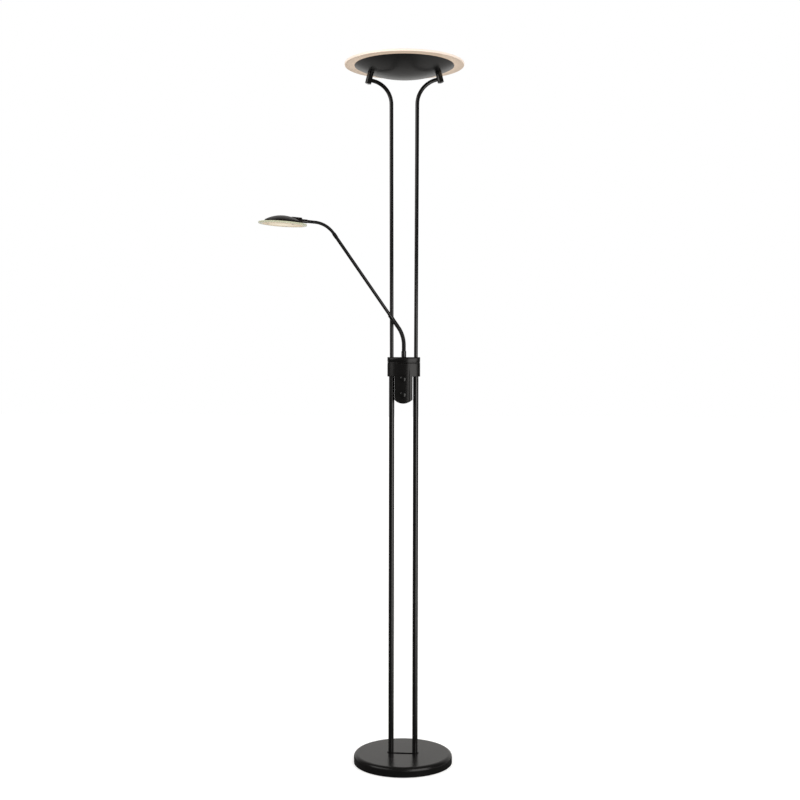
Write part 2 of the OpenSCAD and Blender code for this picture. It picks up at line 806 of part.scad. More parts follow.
module along_end() {
    along_tube() translate([0, 0, up_neck_from]) after_bend(up_neck_r, up_sweep) children();
}

module arm_pivot() {
    color(brass) arm_plane() {
        translate([0, 0, floor_top + 8]) tube(pivot_d, pivot_d - 3, nut_z + nut_h - floor_top - 8);
        translate([0, 0, nut_z]) tube(low_neck_d - 0.4, pivot_d, nut_h);
    }
}

module swivel_washer() {
    color(pale) translate([0, 0, seat_z]) tube(swivel_d - 1, pivot_d + 2 * fix, washer_h);
}

module swivel_ferrule() {
    color(black) arm_plane() translate([0, 0, ferrule_z]) difference() {
        rod(swivel_d, swivel_h, 0.6);
        translate([0, 0, -1]) cylinder(d = pivot_d + 2 * run, h = swivel_h + 2);
        translate([0, 0, nut_z - ferrule_z - gap]) cylinder(d = low_neck_d + 2 * fix, h = swivel_h);
    }
}

// Both goosenecks are cut at the middle of their bend: the root ends in a ball, the tip in its cup
low_mid = low_sweep / 2;
up_mid = up_sweep / 2;
low_open = cup_lift(low_neck_d / 2, low_flex);
up_open = cup_lift(up_neck_d / 2, up_flex);

// How far above the ball's centre a cup starts, so that its lip clears the root at full flex
function cup_lift(r, flex) = max(
    r * tan(flex / 2 + 2),
    (r + gap) * sin(flex - acos(r / (r + gap)) + 11)
);

module ball_end(d) {
    seam(d);
    sphere(d = d);
}

module lower_gooseneck_root() {
    color(black) arm_plane() {
        start = swivel_top - neck_socket;
        translate([0, 0, start]) cylinder(d = low_neck_d, h = low_bend_z - start);
        translate([0, 0, low_bend_z]) {
            seam(low_neck_d);
            bend(low_neck_d, 0, low_neck_r, low_mid);
            after_bend(low_neck_r, low_mid) ball_end(low_neck_d);
        }
    }
}

module lower_gooseneck_tip() {
    color(black) arm_plane() translate([0, 0, low_bend_z]) difference() {
        union() {
            after_bend(low_neck_r, low_mid) bend(low_neck_d, 0, low_neck_r, low_sweep - low_mid);
            after_bend(low_neck_r, low_sweep) {
                seam(low_neck_d);
                cylinder(d = low_neck_d, h = low_neck_tail + spigot);
            }
        }
        after_bend(low_neck_r, low_mid) {
            sphere(d = low_neck_d + 2 * gap);
            translate([0, 0, low_open - low_neck_d]) cube(2 * low_neck_d, center = true);
        }
    }
}

module lower_ferrule() {
    color(black) along_tube() translate([0, 0, low_neck_tail]) difference() {
        rod(low_ferrule_d, low_ferrule_h, 0.4);
        translate([0, 0, -1]) cylinder(d = low_neck_d + 2 * fix, h = spigot + 1.1);
        translate([0, 0, 1]) cylinder(d = arm_tube_d + 2 * fix, h = low_ferrule_h);
    }
}

module arm_tube() {
    color(black) along_tube() translate([0, 0, tube_from + ferrule_stop])
        tube(arm_tube_d, arm_tube_d - 2, tube_to - tube_from - ferrule_stop);
}

module upper_ferrule() {
    color(black) along_tube() translate([0, 0, up_neck_from - up_ferrule_h]) difference() {
        rod(up_ferrule_d, up_ferrule_h, 0.5);
        translate([0, 0, -1]) cylinder(d = arm_tube_d + 2 * fix, h = spigot + 1.1);
        translate([0, 0, 1]) cylinder(d = up_neck_d + 2 * fix, h = up_ferrule_h);
    }
}

module upper_gooseneck_root() {
    color(black) along_tube() translate([0, 0, up_neck_from]) {
        translate([0, 0, -spigot]) cylinder(d = up_neck_d, h = spigot);
        seam(up_neck_d);
        bend(up_neck_d, 0, up_neck_r, up_mid);
        after_bend(up_neck_r, up_mid) ball_end(up_neck_d);
    }
}

module upper_gooseneck_tip() {
    color(black) along_tube() translate([0, 0, up_neck_from]) difference() {
        union() {
            after_bend(up_neck_r, up_mid) bend(up_neck_d, 0, up_neck_r, up_sweep - up_mid);
            after_bend(up_neck_r, up_sweep) {
                seam(up_neck_d);
                cylinder(d = up_neck_d, h = sleeve_from + spigot);
            }
        }
        after_bend(up_neck_r, up_mid) {
            sphere(d = up_neck_d + 2 * gap);
            translate([0, 0, up_open - up_neck_d]) cube(2 * up_neck_d, center = true);
        }
    }
}

module head_sleeve() {
    color(black) along_end() translate([0, 0, sleeve_from]) difference() {
        union() {
            rod(sleeve_d, sleeve_h, 0.5);
            translate([0, 0, sleeve_h]) cylinder(d = neck_spigot_d, h = neck_spigot);
        }
        translate([0, 0, -1]) cylinder(d = up_neck_d + 2 * fix, h = spigot + 1.1);
        translate([0, 0, -1]) cylinder(d = 4.5, h = 40);
    }
}

// ---------- reading head ----------
module head_frame() {
    along_end() translate([0, 0, sleeve_from + sleeve_h + neck_out])
        rotate([0, 0, head_twist]) rotate([0, -90, 0]) children();
}

module head_cap(r, side_h, dome, dome_r) {
    intersection() {
        cylinder(r = r, h = side_h + dome);
        translate([0, 0, side_h + dome - dome_r]) sphere(r = dome_r, $fn = 240);
    }
}

module head_housing() {
    color(black) head_frame() difference() {
        union() {
            translate([0, 0, head_bottom]) head_cap(head_r, head_side_h, head_dome, head_dome_r);
            intersection() {
                translate([-neck_out, 0, 0]) rotate([0, 90, 0]) cylinder(d = neck_d, h = neck_out - 22);
                translate([-neck_out, -neck_d, head_bottom]) cube([neck_out, 2 * neck_d, 2 * neck_d]);
            }
        }
        difference() {
            translate([0, 0, head_bottom - 1])
                head_cap(head_r - head_wall, head_side_h + 1, head_dome - head_wall, head_dome_r - head_wall);
            translate([-neck_out, -neck_d / 2, head_bottom + 2.4])
                cube([neck_out - head_flat, neck_d, neck_d]);
            translate([0, 0, ledge_z]) tube(head_d, 2 * head_board_r - 6, 2);
            ring_of(3, head_screw_ring)
                translate([0, 0, head_bottom + head_diffuser_t + 0.2]) cylinder(d = 6.4, h = 20);
        }
        translate([-neck_out - 1, 0, 0]) rotate([0, 90, 0])
            cylinder(d = neck_spigot_d + 2 * fix, h = neck_spigot + 1.2);
        ring_of(3, head_screw_ring) translate([0, 0, head_bottom - 1])
            cylinder(d = head_screw_d + 2 * fix, h = 9);
    }
}

module head_disc(r, t, hole_d, flat) {
    linear_extrude(t) difference() {
        circle(r = r);
        translate([-2 * r - flat, -r]) square(2 * r);
        ring_of(3, head_screw_ring) circle(d = hole_d);
    }
}

module head_led_board() {
    color(pale) head_frame() translate([0, 0, ledge_z - head_board_t])
        head_disc(head_board_r, head_board_t, 7.2, head_flat - gap);
}

// Chips in three rings on the board's underside
module head_leds() {
    color([0.98, 0.9, 0.6]) head_frame() translate([0, 0, ledge_z - head_board_t - 0.8])
        for (ring = [[6, 12], [12, 23], [12, 30]])
            ring_of(ring[0], ring[1], 15) translate([-1.4, -1.75, 0]) cube([2.8, 3.5, 0.8]);
}

module head_diffuser() {
    color([1, 0.97, 0.9]) head_frame() translate([0, 0, head_bottom + 0.1])
        head_disc(head_r - head_wall - 0.2, head_diffuser_t, head_screw_d + 0.2, head_r);
}

module head_glass() {
    color([0.85, 0.95, 0.88]) head_frame() translate([0, 0, head_bottom - head_glass_t]) difference() {
        round_disc(head_glass_d / 2, head_glass_t, 0.8, true);
        ring_of(3, head_screw_ring) translate([0, 0, -1])
            cylinder(d = head_screw_d + 4 * fix, h = head_glass_t + 2);
    }
}

module head_screws() {
    color(steel) head_frame() ring_of(3, head_screw_ring)
        translate([0, 0, head_bottom - head_glass_t]) mirror([0, 0, 1])
            pan_head_screw(head_screw_d, 6, 1.5, head_glass_t + 7);
}

// ---------- uplighter ----------
// The frame of a barrel: its origin on the pan, its axis down along -Z
module barrel_frame(side) {
    mirror([side < 0 ? 1 : 0, 0, 0])
        translate([barrel_x, 0, barrel_top_z]) rotate([0, -barrel_lean, 0]) children();
}

module fork_barrel(side) {
    color(black) difference() {
        barrel_frame(side) translate([0, 0, -barrel_h]) rod(barrel_d, barrel_h + 6, barrel_edge);
        translate([0, 0, pan_cz]) sphere(r = pan_sphere, $fn = 360);
        barrel_frame(side) {
            translate([0, 0, -15]) cylinder(d = barrel_bore + 2 * fix, h = 30);
            translate([0, 0, -barrel_h - 1]) cylinder(d = 4 + 2 * fix, h = 12);
        }
        fork_frame(side) cylinder(d = upper_pole_d + 2 * fix, h = fork_tail + 0.1);
    }
}

module barrel_nipples() {
    color(brass) for (side = [-1, 1])
        barrel_frame(side) translate([0, 0, -barrel_nipple_h])
            tube(barrel_bore, 5, barrel_nipple_h + pan_wall + barrel_nut_seat + barrel_nut_h);
}

module barrel_nuts() {
    color(steel) for (side = [-1, 1])
        barrel_frame(side) translate([0, 0, pan_wall + barrel_nut_seat])
            hex_nut(barrel_nut_flats, barrel_bore + 2 * fix, barrel_nut_h);
}

module barrel_screws() {
    color(steel) for (side = [-1, 1])
        barrel_frame(side) translate([0, 0, -barrel_h]) mirror([0, 0, 1])
            pan_head_screw(4, 7, 1.2, barrel_screw_l);
}

module uplight_pan() {
    color(black) difference() {
        union() {
            rotate_extrude($fn = 240) intersection() {
                difference() {
                    translate([0, pan_cz]) circle(r = pan_sphere, $fn = 720);
                    translate([0, pan_cz]) circle(r = pan_sphere - pan_wall, $fn = 720);
                }
                translate([0, pan_rim_z - pan_depth - 1]) square([pan_r, pan_depth + 1]);
            }
            rotate_extrude($fn = 240) intersection() {
                translate([0, pan_cz]) circle(r = pan_sphere, $fn = 720);
                translate([flange_in, flange_z]) square([pan_r - flange_in, flange_t]);
            }
        }
        for (side = [-1, 1])
            barrel_frame(side) translate([0, 0, -5]) cylinder(d = barrel_bore + 2 * fix, h = 12);
    }
}

module uplight_chassis() {
    color(steel) difference() {
        union() {
            translate([0, 0, plate_z]) cylinder(r = chassis_r, h = chassis_t);
            ring_of(4, post_ring, 45) translate([0, 0, plate_z - post_h]) cylinder(d = post_d, h = post_h + 1);
        }
        difference() {
            translate([0, 0, plate_z - pan_depth]) cylinder(r = chassis_r + 1, h = pan_depth - eps);
            translate([0, 0, pan_cz]) sphere(r = pan_sphere - pan_wall - 0.05, $fn = 360);
        }
        cylinder(d = 8, h = 2 * pan_rim_z);
    }
}

module uplight_driver() {
    color(pale) translate([-driver[0] / 2, driver_y, plate_z - driver_h])
        cube([driver[0], driver[1], driver_h - fix]);
}

module uplight_led_board() {
    color(pale) translate([0, 0, chassis_top]) tube(2 * up_board_r, 10, up_board_t);
}

module uplight_leds() {
    color([0.98, 0.9, 0.6]) ring_of(led_count, led_ring)
        translate([-2.5, -2.5, chassis_top + up_board_t]) cube([5, 5, 0.9]);
}

module uplight_reflector() {
    in_r = up_board_r + 1;
    out_r = flange_in + 4;
    top = flange_z - 0.1;
    color("white") rotate_extrude() polygon([
        [in_r, chassis_top], [in_r + 6, chassis_top], [out_r, top - reflector_t],
        [out_r, top], [out_r - 1, top], [in_r + 6, chassis_top + reflector_t],
        [in_r, chassis_top + reflector_t]
    ]);
}

module glass_gasket() {
    color([0.8, 0.8, 0.8]) translate([0, 0, pan_rim_z]) tube(pan_d - 4, pan_d - 12, gasket_t);
}

module glass_disc() {
    color([0.95, 0.9, 0.82]) translate([0, 0, glass_z]) round_disc(glass_d / 2, glass_t, glass_edge, true);
}

base_cover();
base_weight();
base_plate();
base_pad();
plate_screws();
cord_grommet();
terminal_block();
foot_plate();
foot_nipples();
foot_nuts();
pole_plugs();
lower_pole(-1);  // lower_pole_left
lower_pole(1);  // lower_pole_right
upper_pole(-1);  // upper_pole_left
upper_pole(1);  // upper_pole_right
dimmer_housing();
collar_lid();
dimmer_cover();
cover_screws();
pole_clamp();
clamp_screws();
dimmer_board();
board_parts();
potentiometer(knob_z[1]);  // potentiometer_upper
potentiometer(knob_z[0]);  // potentiometer_lower
potentiometer_nuts();
shaft(knob_z[1]);  // shaft_upper
shaft(knob_z[0]);  // shaft_lower
knob(knob_z[1]);  // knob_upper
knob(knob_z[0]);  // knob_lower
arm_pivot();
swivel_washer();
swivel_ferrule();
lower_gooseneck_root();
lower_gooseneck_tip();
lower_ferrule();
arm_tube();
upper_ferrule();
upper_gooseneck_root();
upper_gooseneck_tip();
head_sleeve();
head_housing();
head_led_board();
head_leds();
head_diffuser();
head_glass();
head_screws();
fork_barrel(-1);  // fork_barrel_left
fork_barrel(1);  // fork_barrel_right
barrel_nipples();
barrel_nuts();
barrel_screws();
uplight_pan();
uplight_chassis();
uplight_driver();
uplight_led_board();
uplight_leds();
uplight_reflector();
glass_gasket();
glass_disc();
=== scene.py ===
"""Torchiere floor lamp: finishes, moulded housing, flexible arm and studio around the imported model."""

import logging
import math
from dataclasses import dataclass
from enum import Enum
from typing import Any

import bmesh
import bpy
from mathutils import Matrix, Vector


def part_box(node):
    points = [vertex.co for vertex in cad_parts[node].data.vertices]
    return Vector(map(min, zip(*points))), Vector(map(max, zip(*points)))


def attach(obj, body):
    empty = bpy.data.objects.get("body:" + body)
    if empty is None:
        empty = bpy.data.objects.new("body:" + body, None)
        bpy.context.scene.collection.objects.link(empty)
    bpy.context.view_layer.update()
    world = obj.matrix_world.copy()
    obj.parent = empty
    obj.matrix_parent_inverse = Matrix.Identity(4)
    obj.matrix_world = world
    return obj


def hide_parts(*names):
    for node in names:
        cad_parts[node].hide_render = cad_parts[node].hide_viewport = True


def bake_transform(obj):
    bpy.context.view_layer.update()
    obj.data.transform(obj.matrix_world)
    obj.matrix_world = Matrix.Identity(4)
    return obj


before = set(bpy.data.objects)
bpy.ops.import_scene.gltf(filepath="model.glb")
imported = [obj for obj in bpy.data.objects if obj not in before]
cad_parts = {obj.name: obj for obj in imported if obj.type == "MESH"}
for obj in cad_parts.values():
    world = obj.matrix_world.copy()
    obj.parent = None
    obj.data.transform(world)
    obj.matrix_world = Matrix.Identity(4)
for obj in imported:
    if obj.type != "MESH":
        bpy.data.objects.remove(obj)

logging.basicConfig(level=logging.INFO, format="%(message)s")
log = logging.getLogger("lamp")

Colour = tuple[float, float, float]
Place = tuple[float, float, float]
Span = tuple[float, float]

MM = 0.001
SAME_POINT = 0.001 * MM
NEAR_POINT = 0.01 * MM
WHITE: Colour = (1.0, 1.0, 1.0)
WARM_WHITE: Colour = (1.0, 0.98, 0.95)


# ---------------------------------------------------------------- shader maths
class Wire:
    """One shader value, on which Python's operators add the nodes that work it out."""

    def __init__(self, graph: "Graph", socket: bpy.types.NodeSocket) -> None:
        """Keeps an output socket with the graph that its node is in."""
        self.graph = graph
        self.socket = socket

    def _math(self, operation: str, *values: "Wire | float") -> "Wire":
        """One Math node over the values."""
        return self.graph.add("ShaderNodeMath", {"operation": operation}, dict(enumerate(values)))

    def __add__(self, other: "Wire | float") -> "Wire":
        """The sum."""
        return self._math("ADD", self, other)

    def __sub__(self, other: "Wire | float") -> "Wire":
        """The difference."""
        return self._math("SUBTRACT", self, other)

    def __rsub__(self, other: "Wire | float") -> "Wire":
        """The difference with the number first."""
        return self._math("SUBTRACT", other, self)

    def __mul__(self, other: "Wire | float") -> "Wire":
        """The product."""
        return self._math("MULTIPLY", self, other)

    __radd__ = __add__
    __rmul__ = __mul__

    def smooth(self, low: float, high: float) -> "Wire":
        """Runs smoothly from 0, where the value is low, to 1, where it is high."""
        return self.graph.add("ShaderNodeMapRange", {"interpolation_type": "SMOOTHSTEP"},
                              {"Value": self, "From Min": low, "From Max": high})

    def between(self, low: float, high: float) -> "Wire":
        """Spreads a value of 0 to 1 over the range from low to high."""
        return self * (high - low) + low


class Graph:
    """The node tree of one finish."""

    COLOUR_A = 6
    COLOUR_B = 7
    COLOUR_RESULT = 2

    def __init__(self, owner: "bpy.types.Material | bpy.types.World") -> None:
        """Starts an empty tree.

        Args:
            owner: the material or the world whose tree is drawn.
        """
        owner.use_nodes = True
        self.tree = owner.node_tree
        self.tree.nodes.clear()

    def add(self, kind: str, settings: dict[str, Any], inputs: dict[Any, Any], output: int | str = 0) -> Wire:
        """Adds one node.

        Args:
            kind: the node's type.
            settings: its settings, set before its sockets are filled.
            inputs: socket name or number to a wire or a plain value.
            output: the name or number of the output that is returned.

        Returns:
            The wire from that output.
        """
        node = self.tree.nodes.new(kind)
        for key, value in settings.items():
            setattr(node, key, value)
        for key, value in inputs.items():
            if isinstance(value, Wire):
                self.tree.links.new(value.socket, node.inputs[key])
            else:
                node.inputs[key].default_value = value
        return Wire(self, node.outputs[output])

    def vector(self, operation: str, *values: Any, output: int | str = 0) -> Wire:
        """One Vector Math node over the values, which are wires or vectors."""
        return self.add("ShaderNodeVectorMath", {"operation": operation}, dict(enumerate(values)), output)

    def place(self, centre: Place = (0, 0, 0)) -> Wire:
        """Object coordinates in metres, measured from a point."""
        where = self.add("ShaderNodeTexCoord", {}, {}, "Object")
        return self.vector("SUBTRACT", where, centre)

    def axis(self, vector: Wire, name: str) -> Wire:
        """The part of a vector along X, Y or Z."""
        return self.add("ShaderNodeSeparateXYZ", {}, {"Vector": vector}, name)

    def from_upright(self, where: Wire) -> Wire:
        """How far a point lies from the upright axis through the origin of its coordinates."""
        return self.vector("LENGTH", self.vector("MULTIPLY", where, (1, 1, 0)), output="Value")

    def ray(self, kind: str) -> Wire:
        """Tells whether a ray is of a kind, such as Is Camera Ray."""
        return self.add("ShaderNodeLightPath", {}, {}, kind)

    def noise(self, where: Wire, size: float, detail: float = 2.0, stretch: Place = (1, 1, 1)) -> Wire:
        """Soft random variation from 0 to 1, in patches of a size in metres, finer where stretch is more."""
        at = self.vector("MULTIPLY", where, stretch)
        return self.add("ShaderNodeTexNoise", {}, {"Vector": at, "Scale": 1 / size, "Detail": detail})

    def mix(self, share: Wire, first: Colour | Wire, second: Colour | Wire) -> Wire:
        """Mixes two colours.

        Args:
            share: how much of the second colour.
            first: a colour or a wire.
            second: a colour or a wire.

        Returns:
            The mixed colour.
        """
        def full(colour: Colour | Wire) -> Any:
            """A colour with its alpha, or the wire itself."""
            return colour if isinstance(colour, Wire) else (*colour, 1.0)
        values = {0: share, self.COLOUR_A: full(first), self.COLOUR_B: full(second)}
        return self.add("ShaderNodeMix", {"data_type": "RGBA"}, values, self.COLOUR_RESULT)

    def vary(self, share: Wire, colour: Colour, factor: float) -> Wire:
        """Runs from a colour to the same colour times a factor."""
        return self.mix(share, colour, tuple(part * factor for part in colour))

    def bump(self, height: Wire, depth: float) -> Wire:
        """The normal over a height of 0 to 1 that stands for a depth in metres."""
        return self.add("ShaderNodeBump", {}, {"Height": height, "Distance": depth})

    def principled(self, inputs: dict[str, Any]) -> Wire:
        """A Principled shader with these sockets filled."""
        return self.add("ShaderNodeBsdfPrincipled", {}, inputs)

    def surface(self, shader: Wire, end: str = "ShaderNodeOutputMaterial") -> None:
        """Ends the tree with a shader for the surface and an output node of some type."""
        node = self.tree.nodes.new(end)
        self.tree.links.new(shader.socket, node.inputs["Surface"])


# ---------------------------------------------------------------- finishes
@dataclass(frozen=True)
class Finish:
    """A finish that can be put on any piece. Its sizes and depths are in metres."""

    name: str

    def draw(self, graph: Graph) -> Wire:
        """Draws the finish's shader."""
        raise NotImplementedError

    def material(self) -> bpy.types.Material:
        """The finish as a material, made once.

        Returns:
            The material.
        """
        found = bpy.data.materials.get(self.name)
        if found is None:
            found = bpy.data.materials.new(self.name)
            found.cycles.emission_sampling = "NONE"
            graph = Graph(found)
            graph.surface(self.draw(graph))
        return found


@dataclass(frozen=True)
class Enamel(Finish):
    """Sprayed and baked black enamel: a faint orange peel, and patches a little duller than the rest."""

    colour: Colour = (0.0036, 0.0034, 0.0033)
    gloss: float = 0.2
    spread: float = 0.07
    peel: float = 0.004
    peel_depth: float = 0.000003
    index: float = 1.4
    patch: float = 0.045
    patch_tint: float = 1.5

    def draw(self, graph: Graph) -> Wire:
        """Draws the enamel's shader.

        Args:
            graph: the graph to draw it in.

        Returns:
            The shader.
        """
        where = graph.place()
        cloud = graph.noise(where, self.patch, detail=3)
        peel = graph.noise(where, self.peel, detail=1)
        return graph.principled({
            "Base Color": graph.vary(cloud, self.colour, self.patch_tint),
            "Roughness": cloud.between(self.gloss, self.gloss + self.spread),
            "IOR": self.index,
            "Normal": graph.bump(peel, self.peel_depth)})


@dataclass(frozen=True)
class Moulding(Finish):
    """Injection-moulded plastic with a fine grain and faint flow marks."""

    colour: Colour
    gloss: float
    grain: float = 0.0006
    grain_depth: float = 0.00001
    index: float = 1.45
    spread: float = 0.12
    flow: float = 0.018
    flow_stretch: Place = (1, 1, 0.4)
    flow_tint: float = 1.25

    def draw(self, graph: Graph) -> Wire:
        """Draws the plastic's shader.

        Args:
            graph: the graph to draw it in.

        Returns:
            The shader.
        """
        where = graph.place()
        grain = graph.noise(where, self.grain)
        flow = graph.noise(where, self.flow, stretch=self.flow_stretch)
        return graph.principled({
            "Base Color": graph.vary(flow, self.colour, self.flow_tint),
            "Roughness": grain.between(self.gloss, self.gloss + self.spread),
            "IOR": self.index,
            "Normal": graph.bump(grain, self.grain_depth)})


@dataclass(frozen=True)
class Metal(Finish):
    """Bare or plated metal with fine drawing lines, or a cast grain, and slight tarnish."""

    colour: Colour
    gloss: float
    grain: float = 0.0004
    grain_depth: float = 0.000008
    stretch: Place = (1, 1, 0.08)
    metallic: float = 1.0
    spread: float = 0.2
    tarnish: float = 0.012
    tarnish_tint: float = 0.8

    def draw(self, graph: Graph) -> Wire:
        """Draws the metal's shader.

        Args:
            graph: the graph to draw it in.

        Returns:
            The shader.
        """
        where = graph.place()
        grain = graph.noise(where, self.grain, stretch=self.stretch)
        cloud = graph.noise(where, self.tarnish, detail=3)
        return graph.principled({
            "Base Color": graph.vary(cloud, self.colour, self.tarnish_tint),
            "Metallic": self.metallic,
            "Roughness": grain.between(self.gloss, self.gloss + self.spread),
            "Normal": graph.bump(grain, self.grain_depth)})


@dataclass(frozen=True)
class Rubber(Finish):
    """Matt rubber or foam with a pitted skin."""

    colour: Colour
    pit: float
    pit_depth: float = 0.00006
    pit_tint: float = 1.6
    rough: Span = (0.6, 0.85)

    def draw(self, graph: Graph) -> Wire:
        """Draws the rubber's shader.

        Args:
            graph: the graph to draw it in.

        Returns:
            The shader.
        """
        pits = graph.noise(graph.place(), self.pit)
        return graph.principled({
            "Base Color": graph.vary(pits, self.colour, self.pit_tint),
            "Roughness": pits.between(*self.rough),
            "Normal": graph.bump(pits, self.pit_depth)})


@dataclass(frozen=True)
class SatinGlass(Finish):
    """Frosted glass lit from below: brightest over the light, warmer towards its clear, bright side."""

    centre: Place
    rim: float = 0.1525
    lit_from: float = 0.115
    # The side band is a painted bright rim: lighter in the base colour and stronger in the glow.
    side_band: Span = (0.0014, 0.0008)
    # The base colours over the light, towards the rim and at the side follow the glow: painted light in the
    # base colour.
    base: tuple[Colour, Colour, Colour] = ((0.80, 0.62, 0.48), (0.62, 0.50, 0.39), (0.85, 0.73, 0.64))
    lit: tuple[Colour, Colour, Colour] = ((1.0, 0.80, 0.62), (0.72, 0.53, 0.38), (1.8, 1.5, 1.3))
    glow: float = 0.16
    grain: float = 0.0008
    rough: Span = (0.34, 0.42)
    index: float = 1.5

    def draw(self, graph: Graph) -> Wire:
        """Draws the satin glass's shader.

        Args:
            graph: the graph to draw it in.

        Returns:
            The shader.
        """
        where = graph.place(self.centre)
        away = graph.from_upright(where)
        edge = away.smooth(self.lit_from, self.rim)
        side = away.smooth(*(self.rim - inset for inset in self.side_band))
        # The base colour repeats the glow's pattern: painted light, lighter over the light, darker towards
        # the rim, and a painted bright rim at the side.
        base, lit = (graph.mix(side, graph.mix(edge, over_light, at_edge), at_side)
                     for over_light, at_edge, at_side in (self.base, self.lit))
        return graph.principled({
            "Base Color": base,
            "Roughness": graph.noise(where, self.grain).between(*self.rough),
            "IOR": self.index,
            "Emission Color": lit,
            "Emission Strength": self.glow})


@dataclass(frozen=True)
class EdgeLitGlass(Finish):
    """Clear glass whose middle is sandblasted and glows with the light behind it."""

    centre: Place
    frosted: float = 0.0505
    fade: float = 0.0008
    grain: float = 0.0008
    glow: float = 0.67
    glow_from: float = 0.004
    glow_colours: tuple[Colour, Colour] = ((1, 0.92, 0.75), (0.68, 0.55, 0.39))
    frost_from: float = 0.03
    # The frost's base colour is a little lighter in the middle, as its glow is: slight painted light.
    frost_colours: tuple[Colour, Colour] = ((0.3, 0.27, 0.22), (0.28, 0.25, 0.2))
    frost_rough: Span = (0.55, 0.65)
    frost_index: float = 1.05
    green_rim: Span = (0.054, 0.06)
    clear_colours: tuple[Colour, Colour] = ((0.68, 0.66, 0.5), (0.56, 0.58, 0.42))
    clear_rough: Span = (0.2, 0.3)
    clear_index: float = 1.35
    clearness: float = 0.04

    def draw(self, graph: Graph) -> Wire:
        """Draws the glass's shader.

        Args:
            graph: the graph to draw it in.

        Returns:
            The shader, frosted in the middle and clear round it.
        """
        where = graph.place(self.centre)
        away = graph.from_upright(where)
        grain = graph.noise(where, self.grain)
        clear = graph.principled({
            "Base Color": graph.mix(away.smooth(*self.green_rim), *self.clear_colours),
            "Roughness": grain.between(*self.clear_rough),
            "IOR": self.clear_index,
            "Transmission Weight": self.clearness})
        frost = graph.principled({
            "Base Color": graph.mix(away.smooth(self.frost_from, self.frosted), *self.frost_colours),
            "Roughness": grain.between(*self.frost_rough),
            "IOR": self.frost_index,
            "Emission Color": graph.mix(away.smooth(self.glow_from, self.frosted), *self.glow_colours),
            "Emission Strength": self.glow})
        beyond = away.smooth(self.frosted - self.fade, self.frosted + self.fade)
        return graph.add("ShaderNodeMixShader", {}, {0: beyond, 1: frost, 2: clear})


@dataclass(frozen=True)
class Glowing(Finish):
    """A diffuser or a chip that gives light."""

    colour: Colour
    glow: float
    grain: float = 0.002
    grain_tint: float = 0.95
    rough: Span = (0.4, 0.55)

    def draw(self, graph: Graph) -> Wire:
        """Draws the glowing shader.

        Args:
            graph: the graph to draw it in.

        Returns:
            The shader.
        """
        grain = graph.noise(graph.place(), self.grain)
        return graph.principled({
            "Base Color": graph.vary(grain, self.colour, self.grain_tint),
            "Roughness": grain.between(*self.rough),
            "Emission Color": (*self.colour, 1.0),
            "Emission Strength": self.glow})


@dataclass(frozen=True)
class CircuitBoard(Finish):
    """Solder mask over copper tracks."""

    colour: Colour
    track: Colour
    scale: float = 140.0
    gap: float = 0.03
    grain: float = 0.0006
    grain_depth: float = 0.00001
    rough: Span = (0.3, 0.45)

    def draw(self, graph: Graph) -> Wire:
        """Draws the board's shader.

        Args:
            graph: the graph to draw it in.

        Returns:
            The shader.
        """
        where = graph.place()
        cells = graph.add("ShaderNodeTexBrick", {}, {
            "Vector": where, "Scale": self.scale, "Color1": (0, 0, 0, 1), "Color2": (1, 1, 1, 1),
            "Mortar": (0.5, 0.5, 0.5, 1), "Mortar Size": self.gap})
        grain = graph.noise(where, self.grain)
        return graph.principled({
            "Base Color": graph.mix(cells, self.colour, self.track),
            "Roughness": grain.between(*self.rough),
            "Normal": graph.bump(grain, self.grain_depth)})


ENAMEL = Enamel("stove_enamel")
GLOSS_ENAMEL = Enamel("gloss_enamel", gloss=0.16, spread=0.04, peel_depth=0.000001, index=1.5)
PAN_ENAMEL = Enamel("pan_enamel", gloss=0.27, spread=0.06, peel_depth=0.000002)
HEAD_ENAMEL = Enamel("head_enamel", (0.006, 0.0045, 0.0045), gloss=0.3, spread=0.08, peel_depth=0.000001,
                     index=1.3)
NECK_ENAMEL = Enamel("neck_enamel", gloss=0.24, spread=0.1)
HOUSING = Moulding("housing_moulding", (0.004, 0.0038, 0.0037), 0.18, grain_depth=0.000001, index=1.4)
KNOB = Moulding("knob_moulding", (0.003, 0.003, 0.003), 0.1, grain_depth=0.000001)
NYLON = Moulding("nylon", (0.72, 0.7, 0.64), 0.35)
REFLECTOR = Moulding("white_reflector", (0.85, 0.84, 0.8), 0.4)
ZINC = Metal("zinc_plate", (0.62, 0.62, 0.64), 0.3)
CHROME = Metal("bright_plate", (0.8, 0.8, 0.82), 0.08)
ALUMINIUM = Metal("bare_aluminium", (0.7, 0.71, 0.73), 0.32)
BRASS = Metal("turned_brass", (0.72, 0.53, 0.24), 0.25)
IRON = Metal("grey_iron", (0.13, 0.13, 0.135), 0.5, grain=0.0009, grain_depth=0.00004, stretch=(1, 1, 1),
             metallic=0.55)
FOAM = Rubber("foam_sheet", (0.03, 0.03, 0.03), 0.0012)
BLACK_RUBBER = Rubber("black_rubber", (0.012, 0.012, 0.012), 0.0006)
SILICONE = Rubber("pale_silicone", (0.6, 0.6, 0.58), 0.0008)
GREEN_BOARD = CircuitBoard("green_board", (0.02, 0.12, 0.05), (0.05, 0.2, 0.09))
WHITE_BOARD = CircuitBoard("white_board", (0.8, 0.8, 0.77), (0.74, 0.74, 0.71))
PHOSPHOR = Glowing("phosphor", (0.95, 0.8, 0.4), 1.5)
DIFFUSER = Glowing("opal_diffuser", (0.95, 0.9, 0.8), 0.8)


